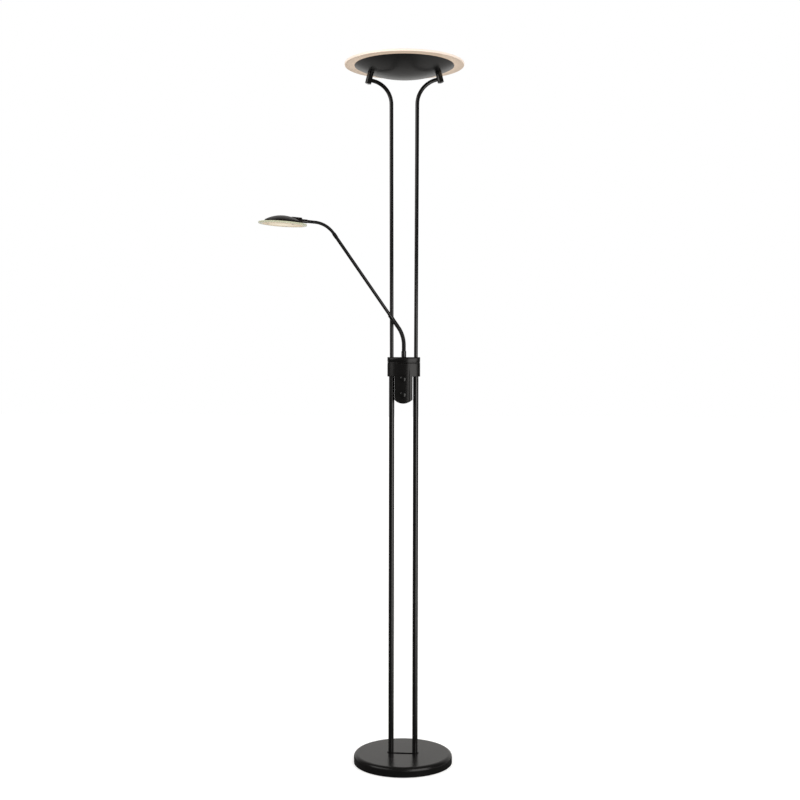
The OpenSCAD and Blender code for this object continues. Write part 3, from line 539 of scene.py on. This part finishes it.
# ---------------------------------------------------------------- the bench
class Bench:
    """Blender's modelling tools, as used by hand."""

    @staticmethod
    def clear() -> None:
        """Leaves edit mode and deselects everything."""
        if bpy.context.mode != "OBJECT":
            bpy.ops.object.mode_set(mode="OBJECT")
        bpy.ops.object.select_all(action="DESELECT")

    @staticmethod
    def put(name: str, data: Any) -> bpy.types.Object:
        """Puts a new object into the scene.

        Args:
            name: its name.
            data: its mesh, curve, light or camera.

        Returns:
            The object.
        """
        thing = bpy.data.objects.new(name, data)
        bpy.context.scene.collection.objects.link(thing)
        return thing

    @staticmethod
    def take(piece: bpy.types.Object) -> None:
        """Selects one piece and makes it active.

        Args:
            piece: the piece.
        """
        Bench.clear()
        piece.select_set(True)
        bpy.context.view_layer.objects.active = piece

    @staticmethod
    def edit() -> None:
        """Enters edit mode with everything selected."""
        bpy.ops.object.mode_set(mode="EDIT")
        bpy.ops.mesh.select_all(action="SELECT")

    @staticmethod
    def done() -> None:
        """Leaves edit mode."""
        bpy.ops.object.mode_set(mode="OBJECT")

    @staticmethod
    def ring(name: str, sides: int, radius: float = 1.0) -> bpy.types.Object:
        """Adds a piece that starts as a flat ring round the origin.

        Args:
            name: its name.
            sides: how many sides the ring has.
            radius: the ring's radius.

        Returns:
            The piece.
        """
        Bench.clear()
        bpy.ops.mesh.primitive_circle_add(vertices=sides, radius=radius, location=(0, 0, 0))
        return Bench.named(name)

    @staticmethod
    def named(name: str) -> bpy.types.Object:
        """Names the piece that was just added.

        Args:
            name: its name.

        Returns:
            The piece.
        """
        piece = bpy.context.active_object
        piece.name = name
        piece.data.name = name
        return piece

    @staticmethod
    def pull(height: float, size: float = 1.0) -> None:
        """Extrudes the selected ring upwards and resizes the new one.

        Args:
            height: how far the new ring lies above the old one.
            size: the new ring's size against the old one's.
        """
        bpy.ops.mesh.extrude_region_move(TRANSFORM_OT_translate={"value": (0, 0, height)})
        if size != 1.0:
            bpy.ops.transform.resize(value=(size, size, 1.0), center_override=(0, 0, 0))

    @staticmethod
    def close(piece: bpy.types.Object) -> None:
        """Closes the open ends of a piece and turns all its faces outwards.

        Args:
            piece: the piece.
        """
        Bench.take(piece)
        Bench.edit()
        bpy.ops.mesh.fill_holes(sides=0)
        bpy.ops.mesh.select_all(action="SELECT")
        bpy.ops.mesh.normals_make_consistent(inside=False)
        Bench.done()

    @staticmethod
    def apply(piece: bpy.types.Object, kind: str, **settings: Any) -> None:
        """Adds a modifier and applies it.

        Args:
            piece: the piece.
            kind: the modifier's type.
            settings: its settings.
        """
        Bench.take(piece)
        modifier = piece.modifiers.new(kind.title(), kind)
        for key, value in settings.items():
            setattr(modifier, key, value)
        bpy.ops.object.modifier_apply(modifier=modifier.name)

    @staticmethod
    def settle(piece: bpy.types.Object, angle: float) -> None:
        """Puts the piece's place into its mesh, and shades its curves smoothly.

        Args:
            piece: the piece.
            angle: edges sharper than this stay sharp, in degrees.
        """
        Bench.take(piece)
        bpy.ops.object.transform_apply(location=True, rotation=True, scale=True)
        bpy.ops.object.shade_smooth_by_angle(angle=math.radians(angle))
        Bench.clear()


def dress(finish: Finish, *nodes: str) -> None:
    """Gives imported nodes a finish.

    Args:
        finish: the finish.
        nodes: the nodes' names.
    """
    for name in nodes:
        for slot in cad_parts[name].material_slots:
            slot.material = finish.material()


def finish_piece(piece: bpy.types.Object, finish: Finish) -> None:
    """Gives a new piece its finish, as its only material.

    Args:
        piece: the piece.
        finish: the finish.
    """
    piece.data.materials.clear()
    piece.data.materials.append(finish.material())


def middle(node: str) -> Place:
    """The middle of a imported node's box."""
    low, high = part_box(node)
    return tuple((low + high) / 2)


# ---------------------------------------------------------------- sub-assemblies
@dataclass
class Base:
    """The round foot: cover, weight, plate, pad and cord inlet."""

    def build(self) -> None:
        """Dresses the base."""
        dress(ENAMEL, "base_cover", "foot_plate")
        dress(IRON, "base_weight")
        dress(ZINC, "base_plate", "plate_screws", "foot_nuts")
        dress(FOAM, "base_pad")
        dress(BLACK_RUBBER, "cord_grommet")
        dress(NYLON, "terminal_block")
        dress(BRASS, "foot_nipples", "pole_plugs")
        log.info("base dressed")


@dataclass
class Oval:
    """The housing's outline: two round ends joined by long front and back arcs, in millimetres."""

    pole_x: float = 31.0
    end_r: float = 11.2
    arc_off: float = 39.09
    arc_r: float = 61.09

    @property
    def meeting(self) -> float:
        """The cosine of the angle at which an end meets an arc."""
        return self.pole_x / (self.arc_r - self.end_r)

    def point(self, angle: float, inset: float = 0.0) -> tuple[float, float]:
        """A point of the outline.

        Args:
            angle: the direction in which the outline faces there, in radians.
            inset: how far inside the outline the point lies.

        Returns:
            The point's x and y.
        """
        c, s = math.cos(angle), math.sin(angle)
        if abs(c) > self.meeting:
            return math.copysign(self.pole_x, c) + (self.end_r - inset) * c, (self.end_r - inset) * s
        return (self.arc_r - inset) * c, math.copysign(self.arc_off, -s) + (self.arc_r - inset) * s

    def facing(self, x: float, y: float) -> tuple[float, Vector]:
        """Looks up a point near the outline.

        Args:
            x: its place across the housing, in millimetres.
            y: its place from front to back.

        Returns:
            How far it lies outside the outline, and the direction in which the outline faces there.
        """
        end = Vector((x - math.copysign(self.pole_x, x), y, 0))
        if abs(x) > self.pole_x and abs(y) < math.sqrt(1 - self.meeting ** 2) * end.length:
            return end.length - self.end_r, end.normalized()
        side = Vector((x, y + math.copysign(self.arc_off, y), 0))
        return side.length - self.arc_r, side.normalized()


@dataclass
class CollarLid:
    """The housing's lid: an oval cap with a flat top, a soft shoulder in front and behind, and crisp ends.

    Its sizes are in millimetres. Its seat is the round sinking that the arm's swivel stands in, and its
    spigot reaches down into the housing.
    """

    oval: Oval
    bottom: float = 1035.6
    top: float = 1047.9
    seat: float = 1047.0
    seat_r: float = 8.5
    end_round: float = 1.2
    side_round: float = 2.6
    round_steps: int = 6
    bevel: float = 0.8
    bevel_in: float = 0.24
    spigot: float = 3.0
    spigot_inset: float = 2.35
    sides: int = 168
    sharp: float = 30.0

    def _rings(self, angle: float) -> list[Place]:
        """The lid's section at one place of its outline.

        Args:
            angle: the direction in which the outline faces there, in radians.

        Returns:
            The x, y and z of each ring there, from the spigot up to the seat.
        """
        r = self.end_round + self.side_round * math.sin(angle) ** 2
        section = [(self.spigot_inset, self.bottom - self.spigot), (self.spigot_inset, self.bottom),
                   (self.bevel, self.bottom), (self.bevel_in, self.bottom + self.bevel_in),
                   (0.0, self.bottom + self.bevel)]
        turns = (math.pi / 2 * step / self.round_steps for step in range(self.round_steps + 1))
        section += [(r * (1 - math.cos(turn)), self.top - r * (1 - math.sin(turn))) for turn in turns]
        rings = [(*self.oval.point(angle, inset), z) for inset, z in section]
        x, y = self.oval.point(angle)
        size = self.seat_r / math.hypot(x, y)
        return rings + [(x * size, y * size, self.top), (x * size, y * size, self.seat)]

    def build(self) -> None:
        """Pulls a tube of rings up, sets them to the lid's section and closes it."""
        half_side = math.pi / self.sides
        piece = Bench.ring("housing_lid", self.sides)
        Bench.edit()
        for _ in self._rings(half_side)[1:]:
            Bench.pull(1.0)
        Bench.done()
        for vertex in piece.data.vertices:
            angle = math.atan2(vertex.co.y, vertex.co.x) + half_side
            vertex.co = Vector(self._rings(angle)[round(vertex.co.z)]) * MM
        Bench.close(piece)
        Bench.settle(piece, self.sharp)
        finish_piece(piece, HOUSING)
        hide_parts("collar_lid")
        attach(piece, "stand")
        log.info("housing lid: %d faces", len(piece.data.polygons))


@dataclass
class HousingShell:
    """The housing with its moulded edges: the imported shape, its outer edges rounded over.

    Its sizes are in millimetres and its angles in degrees. The groove runs round the collar below its
    rim, and the knobs are the heights at which the two dimmer shafts come through the tongue. The
    edges of the opening at the back of the tongue stay sharp, because the cover lies in it.

    Faces that turn by less than flat are merged. Band and play are how far an edge may lie from its
    height, edge_play and wall_play how far an edge or a corner of the wall may lie from the outline, and
    wall_turn is the least cosine between a face of the wall and the way that the outline faces.
    """

    oval: Oval
    bottom: float = 998.0
    top: float = 1035.0
    groove: float = 1032.0
    knobs: tuple[float, float] = (952.5, 992.5)
    knob_clear: float = 6.0
    foot_round: float = 1.1
    groove_round: float = 0.5
    rim_round: float = 0.8
    round_steps: int = 3
    sharp: float = 30.0
    flat: float = 0.5
    band: float = 1.0
    play: float = 0.1
    edge_play: float = 0.15
    wall_play: float = 0.06
    wall_turn: float = 0.9

    def _outer(self, edge: bmesh.types.BMEdge, heights: Span) -> bool:
        """Tells whether an edge is a sharp outer one of the collar or its tongue.

        Args:
            edge: the edge.
            heights: the heights between which its middle lies.

        Returns:
            True if it is to be rounded.
        """
        if len(edge.link_faces) != 2 or not edge.is_convex:
            return False
        x, y, z = (edge.verts[0].co + edge.verts[1].co) / 2 / MM
        at_cover = y > 0 and z < self.bottom - self.play
        return (edge.calc_face_angle(0) >= math.radians(self.sharp)
                and heights[0] < z < heights[1] and not at_cover
                and abs(self.oval.facing(x, y)[0]) <= self.edge_play
                and all(math.hypot(x, z - knob) > self.knob_clear for knob in self.knobs))

    def _round(self, piece: bpy.types.Object, heights: Span, size: float) -> int:
        """Rounds the outer edges between two heights.

        Args:
            piece: the housing, in edit mode.
            heights: the lower and the upper height.
            size: the rounding's width.

        Returns:
            How many edges were rounded.
        """
        bpy.ops.mesh.select_all(action="DESELECT")
        mesh = bmesh.from_edit_mesh(piece.data)
        picked = [edge for edge in mesh.edges if self._outer(edge, heights)]
        for edge in picked:
            edge.select_set(True)
        bmesh.update_edit_mesh(piece.data)
        bpy.ops.mesh.bevel(offset=size * MM, segments=self.round_steps, clamp_overlap=False)
        return len(picked)

    def _true_normals(self, mesh: bpy.types.Mesh) -> None:
        """Shades the outer wall by the outline's own curve, however its faces are cut.

        Args:
            mesh: the housing's mesh.
        """
        normals = [corner.vector.copy() for corner in mesh.corner_normals]
        for face in mesh.polygons:
            corners = [mesh.vertices[mesh.loops[i].vertex_index].co / MM for i in face.loop_indices]
            looks = [self.oval.facing(co.x, co.y) for co in corners]
            on_wall = all(abs(outside) < self.wall_play for outside, _ in looks)
            if on_wall and face.normal.dot(looks[0][1]) > self.wall_turn:
                for i, (_, way) in zip(face.loop_indices, looks, strict=True):
                    normals[i] = way
        mesh.normals_split_custom_set(normals)

    def build(self) -> None:
        """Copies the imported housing, merges it and rounds its outer edges."""
        piece = Bench.put("housing_shell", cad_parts["dimmer_housing"].data.copy())
        Bench.take(piece)
        Bench.edit()
        bpy.ops.mesh.remove_doubles(threshold=SAME_POINT)
        bpy.ops.mesh.dissolve_limited(angle_limit=math.radians(self.flat))
        rounded = self._round(piece, (0, self.bottom + self.play), self.foot_round)
        rounded += self._round(piece, (self.groove - self.band, self.groove + self.band), self.groove_round)
        rounded += self._round(piece, (self.top - self.band, self.top + self.band), self.rim_round)
        bpy.ops.mesh.select_all(action="SELECT")
        bpy.ops.mesh.remove_doubles(threshold=NEAR_POINT)
        bpy.ops.mesh.dissolve_degenerate(threshold=NEAR_POINT)
        Bench.done()
        Bench.settle(piece, self.sharp)
        self._true_normals(piece.data)
        finish_piece(piece, HOUSING)
        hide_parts("dimmer_housing")
        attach(piece, "stand")
        log.info("housing shell: %d edges rounded, %d faces", rounded, len(piece.data.polygons))


@dataclass
class Stand:
    """The two poles and the dimmer housing that joins them."""

    oval: Oval

    def build(self) -> None:
        """Models the housing, and dresses the poles and the dimmers."""
        CollarLid(self.oval).build()
        HousingShell(self.oval).build()
        dress(GLOSS_ENAMEL, "lower_pole_left", "lower_pole_right", "upper_pole_left", "upper_pole_right")
        dress(HOUSING, "dimmer_cover")
        dress(ZINC, "cover_screws", "clamp_screws", "potentiometer_upper", "potentiometer_lower",
              "potentiometer_nuts")
        dress(ALUMINIUM, "pole_clamp")
        dress(GREEN_BOARD, "dimmer_board", "board_parts")
        dress(NYLON, "shaft_upper", "shaft_lower")
        dress(KNOB, "knob_upper", "knob_lower")
        log.info("stand dressed")


class Flex(Enum):
    """The arm's two goosenecks."""

    LOWER = "lower"
    UPPER = "upper"


@dataclass
class Gooseneck:
    """One flexible neck, wound from round wire: straight, bent, and straight again.

    It starts at a distance from the lamp's axis and a height, and rises at an angle to the level. Its
    sizes are in millimetres and its angles in degrees. The wire's section gives, for each ring of one
    turn, its height as a share of the pitch and its size as a share of the neck's radius.
    """

    which: Flex
    bodies: tuple[str, str]
    start: Span
    rise: float
    before: float
    radius: float
    sweep: float
    after: float
    diameter: float
    turn: float
    pitch: float = 2.2
    sides: int = 28
    bend_step: float = 1.2
    after_steps: int = 6
    sharp: float = 60.0
    wire: tuple[Span, ...] = (
        (0.0, 0.93), (0.16, 0.9765), (0.34, 1.0), (0.66, 1.0), (0.84, 0.9765), (1.0, 0.93))

    def _route(self) -> list[Vector]:
        """Points along the neck's centre line.

        Returns:
            The points, in metres.
        """
        sweep = math.radians(self.sweep)
        steps = int(sweep * self.radius / self.bend_step)
        points = [(0.0, 0.0), (0.0, self.before)]
        points += [(self.radius * (1 - math.cos(a)), self.before + self.radius * math.sin(a))
                   for a in (sweep * (i + 1) / steps for i in range(steps))]
        end_x, end_z = points[-1]
        points += [(end_x + way * math.sin(sweep), end_z + way * math.cos(sweep))
                   for way in (self.after * (i + 1) / self.after_steps for i in range(self.after_steps))]
        lean = math.radians(90 - self.rise)
        turn = math.radians(180 + self.turn)
        route = []
        for x, z in points:
            out = self.start[0] + x * math.cos(lean) + z * math.sin(lean)
            up = self.start[1] - x * math.sin(lean) + z * math.cos(lean)
            route.append(Vector((out * math.cos(turn), out * math.sin(turn), up)) * MM)
        return route

    def _coil(self, length: float) -> bpy.types.Object:
        """Models one turn of the winding and repeats it.

        Args:
            length: the neck's length in millimetres.

        Returns:
            The straight winding, along +Z from the origin.
        """
        turns = round(length / self.pitch)
        pitch = length / turns * MM
        groove = self.diameter / 2 * self.wire[0][1] * MM
        piece = Bench.ring(f"{self.which.value}_gooseneck", self.sides, groove)
        Bench.edit()
        for (low, old), (high, new) in zip(self.wire, self.wire[1:], strict=False):
            Bench.pull((high - low) * pitch, new / old)
        Bench.done()
        Bench.apply(piece, "ARRAY", count=turns, use_relative_offset=False, use_constant_offset=True,
                    constant_offset_displace=(0, 0, pitch), use_merge_vertices=True,
                    merge_threshold=NEAR_POINT)
        Bench.close(piece)
        return piece

    def _bend(self, piece: bpy.types.Object, route: list[Vector]) -> None:
        """Bends the straight winding along a route.

        Args:
            piece: the winding.
            route: points along the centre line.
        """
        line = bpy.data.curves.new(piece.name + "_line", "CURVE")
        line.dimensions = "3D"
        line.twist_mode = "MINIMUM"
        spline = line.splines.new("POLY")
        spline.points.add(len(route) - 1)
        for point, where in zip(spline.points, route, strict=True):
            point.co = (*where, 1.0)
        guide = Bench.put(line.name, line)
        Bench.apply(piece, "CURVE", object=guide, deform_axis="POS_Z")
        bpy.data.objects.remove(guide)

    def build(self) -> None:
        """Models the neck and bends it along its route."""
        route = self._route()
        length = sum((b - a).length for a, b in zip(route, route[1:], strict=False)) / MM
        piece = self._coil(length)
        self._bend(piece, route)
        Bench.settle(piece, self.sharp)
        finish_piece(piece, NECK_ENAMEL)
        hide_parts(f"{self.which.value}_gooseneck_root", f"{self.which.value}_gooseneck_tip")
        bend = route[1:-self.after_steps]
        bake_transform(piece)
        log.info("%s: %.0f mm long, %d faces", piece.name, length, len(piece.data.polygons))


@dataclass
class ReadingArm:
    """The jointed arm: swivel, two goosenecks, tube and ferrules.

    Its sizes are in millimetres and its angles in degrees. The corner is the height at which the lower
    neck's two straight lines would cross, length is from there to the upper neck's crossing, and reach
    from that one to the head.
    """

    turn: float = 24.0
    rise: float = 53.5
    head_rise: float = 3.0
    corner: float = 1103.5
    length: float = 346.0
    reach: float = 65.3
    lower_radius: float = 77.0
    upper_radius: float = 65.0
    lower_diameter: float = 10.5
    upper_diameter: float = 8.0
    upper_pitch: float = 1.9
    upper_sides: int = 24
    lower_straight: float = 27.0
    swivel_top: float = 1063.5
    swivel_depth: float = 1.8
    ferrule_depth: float = 6.0
    sleeve: float = 15.5

    def build(self) -> None:
        """Builds the goosenecks and dresses the rest of the arm."""
        low_sweep, up_sweep = 90 - self.rise, self.rise - self.head_rise
        low_tan = self.lower_radius * math.tan(math.radians(low_sweep / 2))
        up_tan = self.upper_radius * math.tan(math.radians(up_sweep / 2))
        foot = self.swivel_top - self.swivel_depth
        Gooseneck(Flex.LOWER, ("arm_root", "arm"), start=(0, foot), rise=90,
                  before=self.corner - low_tan - foot, radius=self.lower_radius, sweep=low_sweep,
                  after=self.lower_straight + self.ferrule_depth,
                  diameter=self.lower_diameter, turn=self.turn).build()
        lean = math.radians(low_sweep)
        along = self.length - up_tan - self.ferrule_depth
        start = (along * math.sin(lean), self.corner + along * math.cos(lean))
        Gooseneck(Flex.UPPER, ("arm", "head"), start=start, rise=self.rise, before=self.ferrule_depth,
                  radius=self.upper_radius, sweep=up_sweep,
                  after=self.reach - up_tan - self.sleeve + self.ferrule_depth,
                  diameter=self.upper_diameter, turn=self.turn,
                  pitch=self.upper_pitch, sides=self.upper_sides).build()
        dress(GLOSS_ENAMEL, "swivel_ferrule", "lower_ferrule", "arm_tube", "upper_ferrule", "head_sleeve")
        dress(BRASS, "arm_pivot")
        dress(NYLON, "swivel_washer")
        log.info("arm dressed")


@dataclass
class ReadingHead:
    """The small round head with its glass disc."""

    def build(self) -> None:
        """Dresses the head."""
        dress(HEAD_ENAMEL, "head_housing")
        dress(WHITE_BOARD, "head_led_board")
        dress(PHOSPHOR, "head_leds")
        dress(DIFFUSER, "head_diffuser")
        dress(CHROME, "head_screws")
        dress(EdgeLitGlass("edge_lit_glass", middle("head_glass")), "head_glass")
        log.info("head dressed")


@dataclass
class Uplighter:
    """The shallow pan on its fork, with the light and the glass disc."""

    def build(self) -> None:
        """Dresses the uplighter."""
        dress(PAN_ENAMEL, "uplight_pan")
        dress(GLOSS_ENAMEL, "fork_barrel_left", "fork_barrel_right")
        dress(BRASS, "barrel_nipples")
        dress(ZINC, "barrel_nuts", "barrel_screws")
        dress(ALUMINIUM, "uplight_chassis")
        dress(NYLON, "uplight_driver")
        dress(WHITE_BOARD, "uplight_led_board")
        dress(PHOSPHOR, "uplight_leds")
        dress(REFLECTOR, "uplight_reflector")
        dress(SILICONE, "glass_gasket")
        dress(SatinGlass("satin_glass", middle("glass_disc")), "glass_disc")
        log.info("uplighter dressed")


# ---------------------------------------------------------------- the studio
@dataclass(frozen=True)
class Paper(Finish):
    """Studio paper: white to the camera, dark in what the lamp's front mirrors, and it keeps the shadow.

    A patch at the front right stays pale in reflections. Lift is the light added for the camera, which
    grows with the distance from the lamp.
    """

    shade: float = 0.7
    front: float = 0.06
    lift: float = 0.48
    far_lift: float = 0.8
    lift_span: Span = (0.8, 5.0)
    mirrored_lift: Span = (3.0, 14.0)
    front_span: Span = (-0.5, 3.0)
    patch_left: Span = (0.15, 0.5)
    patch_right: Span = (1.2, 1.8)
    patch_front: Span = (-1.6, -1.1)

    def draw(self, graph: Graph) -> Wire:
        """Draws the paper's shader.

        Args:
            graph: the graph to draw it in.

        Returns:
            The shader.
        """
        where = graph.place()
        along, across = (graph.axis(where, name) for name in "YX")
        gloss = graph.ray("Is Glossy Ray")
        seen = graph.ray("Is Camera Ray") + graph.ray("Is Transmission Ray")
        seen = seen + gloss * along.smooth(*self.mirrored_lift)
        in_patch = across.smooth(*self.patch_left) * (1 - across.smooth(*self.patch_right))
        lit = in_patch * along.smooth(*self.patch_front)
        hidden = gloss * (1 - along.smooth(*self.front_span)) * (1 - lit)
        colour = graph.mix(hidden, (self.shade,) * 3, (self.front,) * 3)
        paper = graph.add("ShaderNodeBsdfDiffuse", {}, {"Color": colour})
        lift = graph.from_upright(where).smooth(*self.lift_span).between(self.lift, self.far_lift)
        glow = graph.add("ShaderNodeEmission", {}, {"Color": (*WHITE, 1.0), "Strength": seen * lift})
        return graph.add("ShaderNodeAddShader", {}, {0: paper, 1: glow})


@dataclass(frozen=True)
class Panel:
    """One soft light: its place and aim and size in metres, its power in watts, and if gloss mirrors it."""

    name: str
    place: Place
    aim: Place
    size: Span
    power: float
    mirrored: bool = True

    def hang(self) -> None:
        """Hangs the light."""
        data = bpy.data.lights.new(self.name, "AREA")
        data.shape = "RECTANGLE"
        data.size, data.size_y = self.size
        data.energy = self.power
        data.color = WARM_WHITE
        light = Bench.put(self.name, data)
        light.visible_camera = False
        light.visible_glossy = self.mirrored
        light.location = self.place
        aim = Vector(self.aim) - Vector(self.place)
        light.rotation_euler = aim.to_track_quat("-Z", "Y").to_euler()


PANELS = (
    Panel("right_panel", (0.9, -1.0, 0.67), (0, 0, 0.67), (1.12, 1.3), 12),
    Panel("left_panel", (-2.2, -1.38, 2.3), (0, 0, 2.0), (2.5, 1.2), 22),
    Panel("left_side", (-2.34, -1.14, 1.3), (0, 0, 1.2), (0.9, 0.7), 2.4),
    Panel("top_panel", (0.2, 1.0, 3.4), (0, 0, 0.6), (2.2, 1.8), 22, mirrored=False),
    Panel("front_fill", (0.0, -4.6, 3.4), (0, 0, 1.0), (2.4, 1.2), 60, mirrored=False),
)


@dataclass
class Studio:
    """Floor, surroundings, lights and camera, in metres and degrees.

    Backdrop is how bright the surroundings behind the lamp are in reflections, dark_side how bright
    those in front of it are, and ambient how much light both give.
    """

    distance: float = 3.166
    height: float = 1.036
    azimuth: float = 4.2
    tilt: float = 1.77617
    swing: float = 0.172
    roll: float = 0.12
    lens: float = 55.5
    sensor: float = 36.0
    view_end: float = 50.0
    floor_size: float = 40.0
    floor_drop: float = 0.0002
    ambient: float = 0.5
    backdrop: float = 0.66
    dark_side: float = 0.12
    backdrop_span: Span = (0.3, 0.85)

    def _floor(self) -> None:
        """Lays the floor, a hair below the lamp's pad so that their faces stay apart."""
        Bench.clear()
        bpy.ops.mesh.primitive_plane_add(size=self.floor_size, location=(0, 0, -self.floor_drop))
        floor = Bench.named("studio_floor")
        floor.data.materials.append(Paper("studio_paper").material())

    def _sky(self) -> None:
        """Sets the surroundings: white to the camera and behind the lamp, dark in front of it."""
        world = bpy.data.worlds.new("studio")
        bpy.context.scene.world = world
        graph = Graph(world)
        facing = graph.axis(graph.add("ShaderNodeTexCoord", {}, {}, "Generated"), "Y")
        mirrored = facing.smooth(*self.backdrop_span).between(self.dark_side, self.backdrop)
        gloss = graph.ray("Is Glossy Ray")
        seen = graph.ray("Is Camera Ray") + graph.ray("Is Transmission Ray")
        level = seen + (1 - seen) * (gloss * mirrored + (1 - gloss) * self.ambient)
        colour = graph.mix(seen, WARM_WHITE, WHITE)
        white = graph.add("ShaderNodeBackground", {}, {"Color": colour, "Strength": level})
        graph.surface(white, "ShaderNodeOutputWorld")

    def _camera(self) -> None:
        """Sets up the camera."""
        data = bpy.data.cameras.new("camera")
        data.lens = self.lens
        data.sensor_width = self.sensor
        data.clip_end = self.view_end
        camera = Bench.put("camera", data)
        around = math.radians(self.azimuth)
        camera.location = (self.distance * math.sin(around), -self.distance * math.cos(around), self.height)
        turn = Matrix.Rotation(around + math.radians(self.swing), 4, "Z")
        lean = Matrix.Rotation(math.radians(90 - self.tilt), 4, "X")
        roll = Matrix.Rotation(math.radians(self.roll), 4, "Z")
        camera.rotation_euler = (turn @ lean @ roll).to_euler()
        bpy.context.scene.camera = camera

    def build(self) -> None:
        """Sets up the studio."""
        bpy.context.scene.view_settings.view_transform = "Standard"
        self._floor()
        self._sky()
        for panel in PANELS:
            panel.hang()
        self._camera()
        log.info("studio set")


def main() -> None:
    """Builds the lamp's sub-assemblies in order, then the studio."""
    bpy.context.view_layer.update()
    for part in (Base(), Stand(Oval()), ReadingArm(), ReadingHead(), Uplighter(), Studio()):
        part.build()


if __name__ == "__main__":
    main()
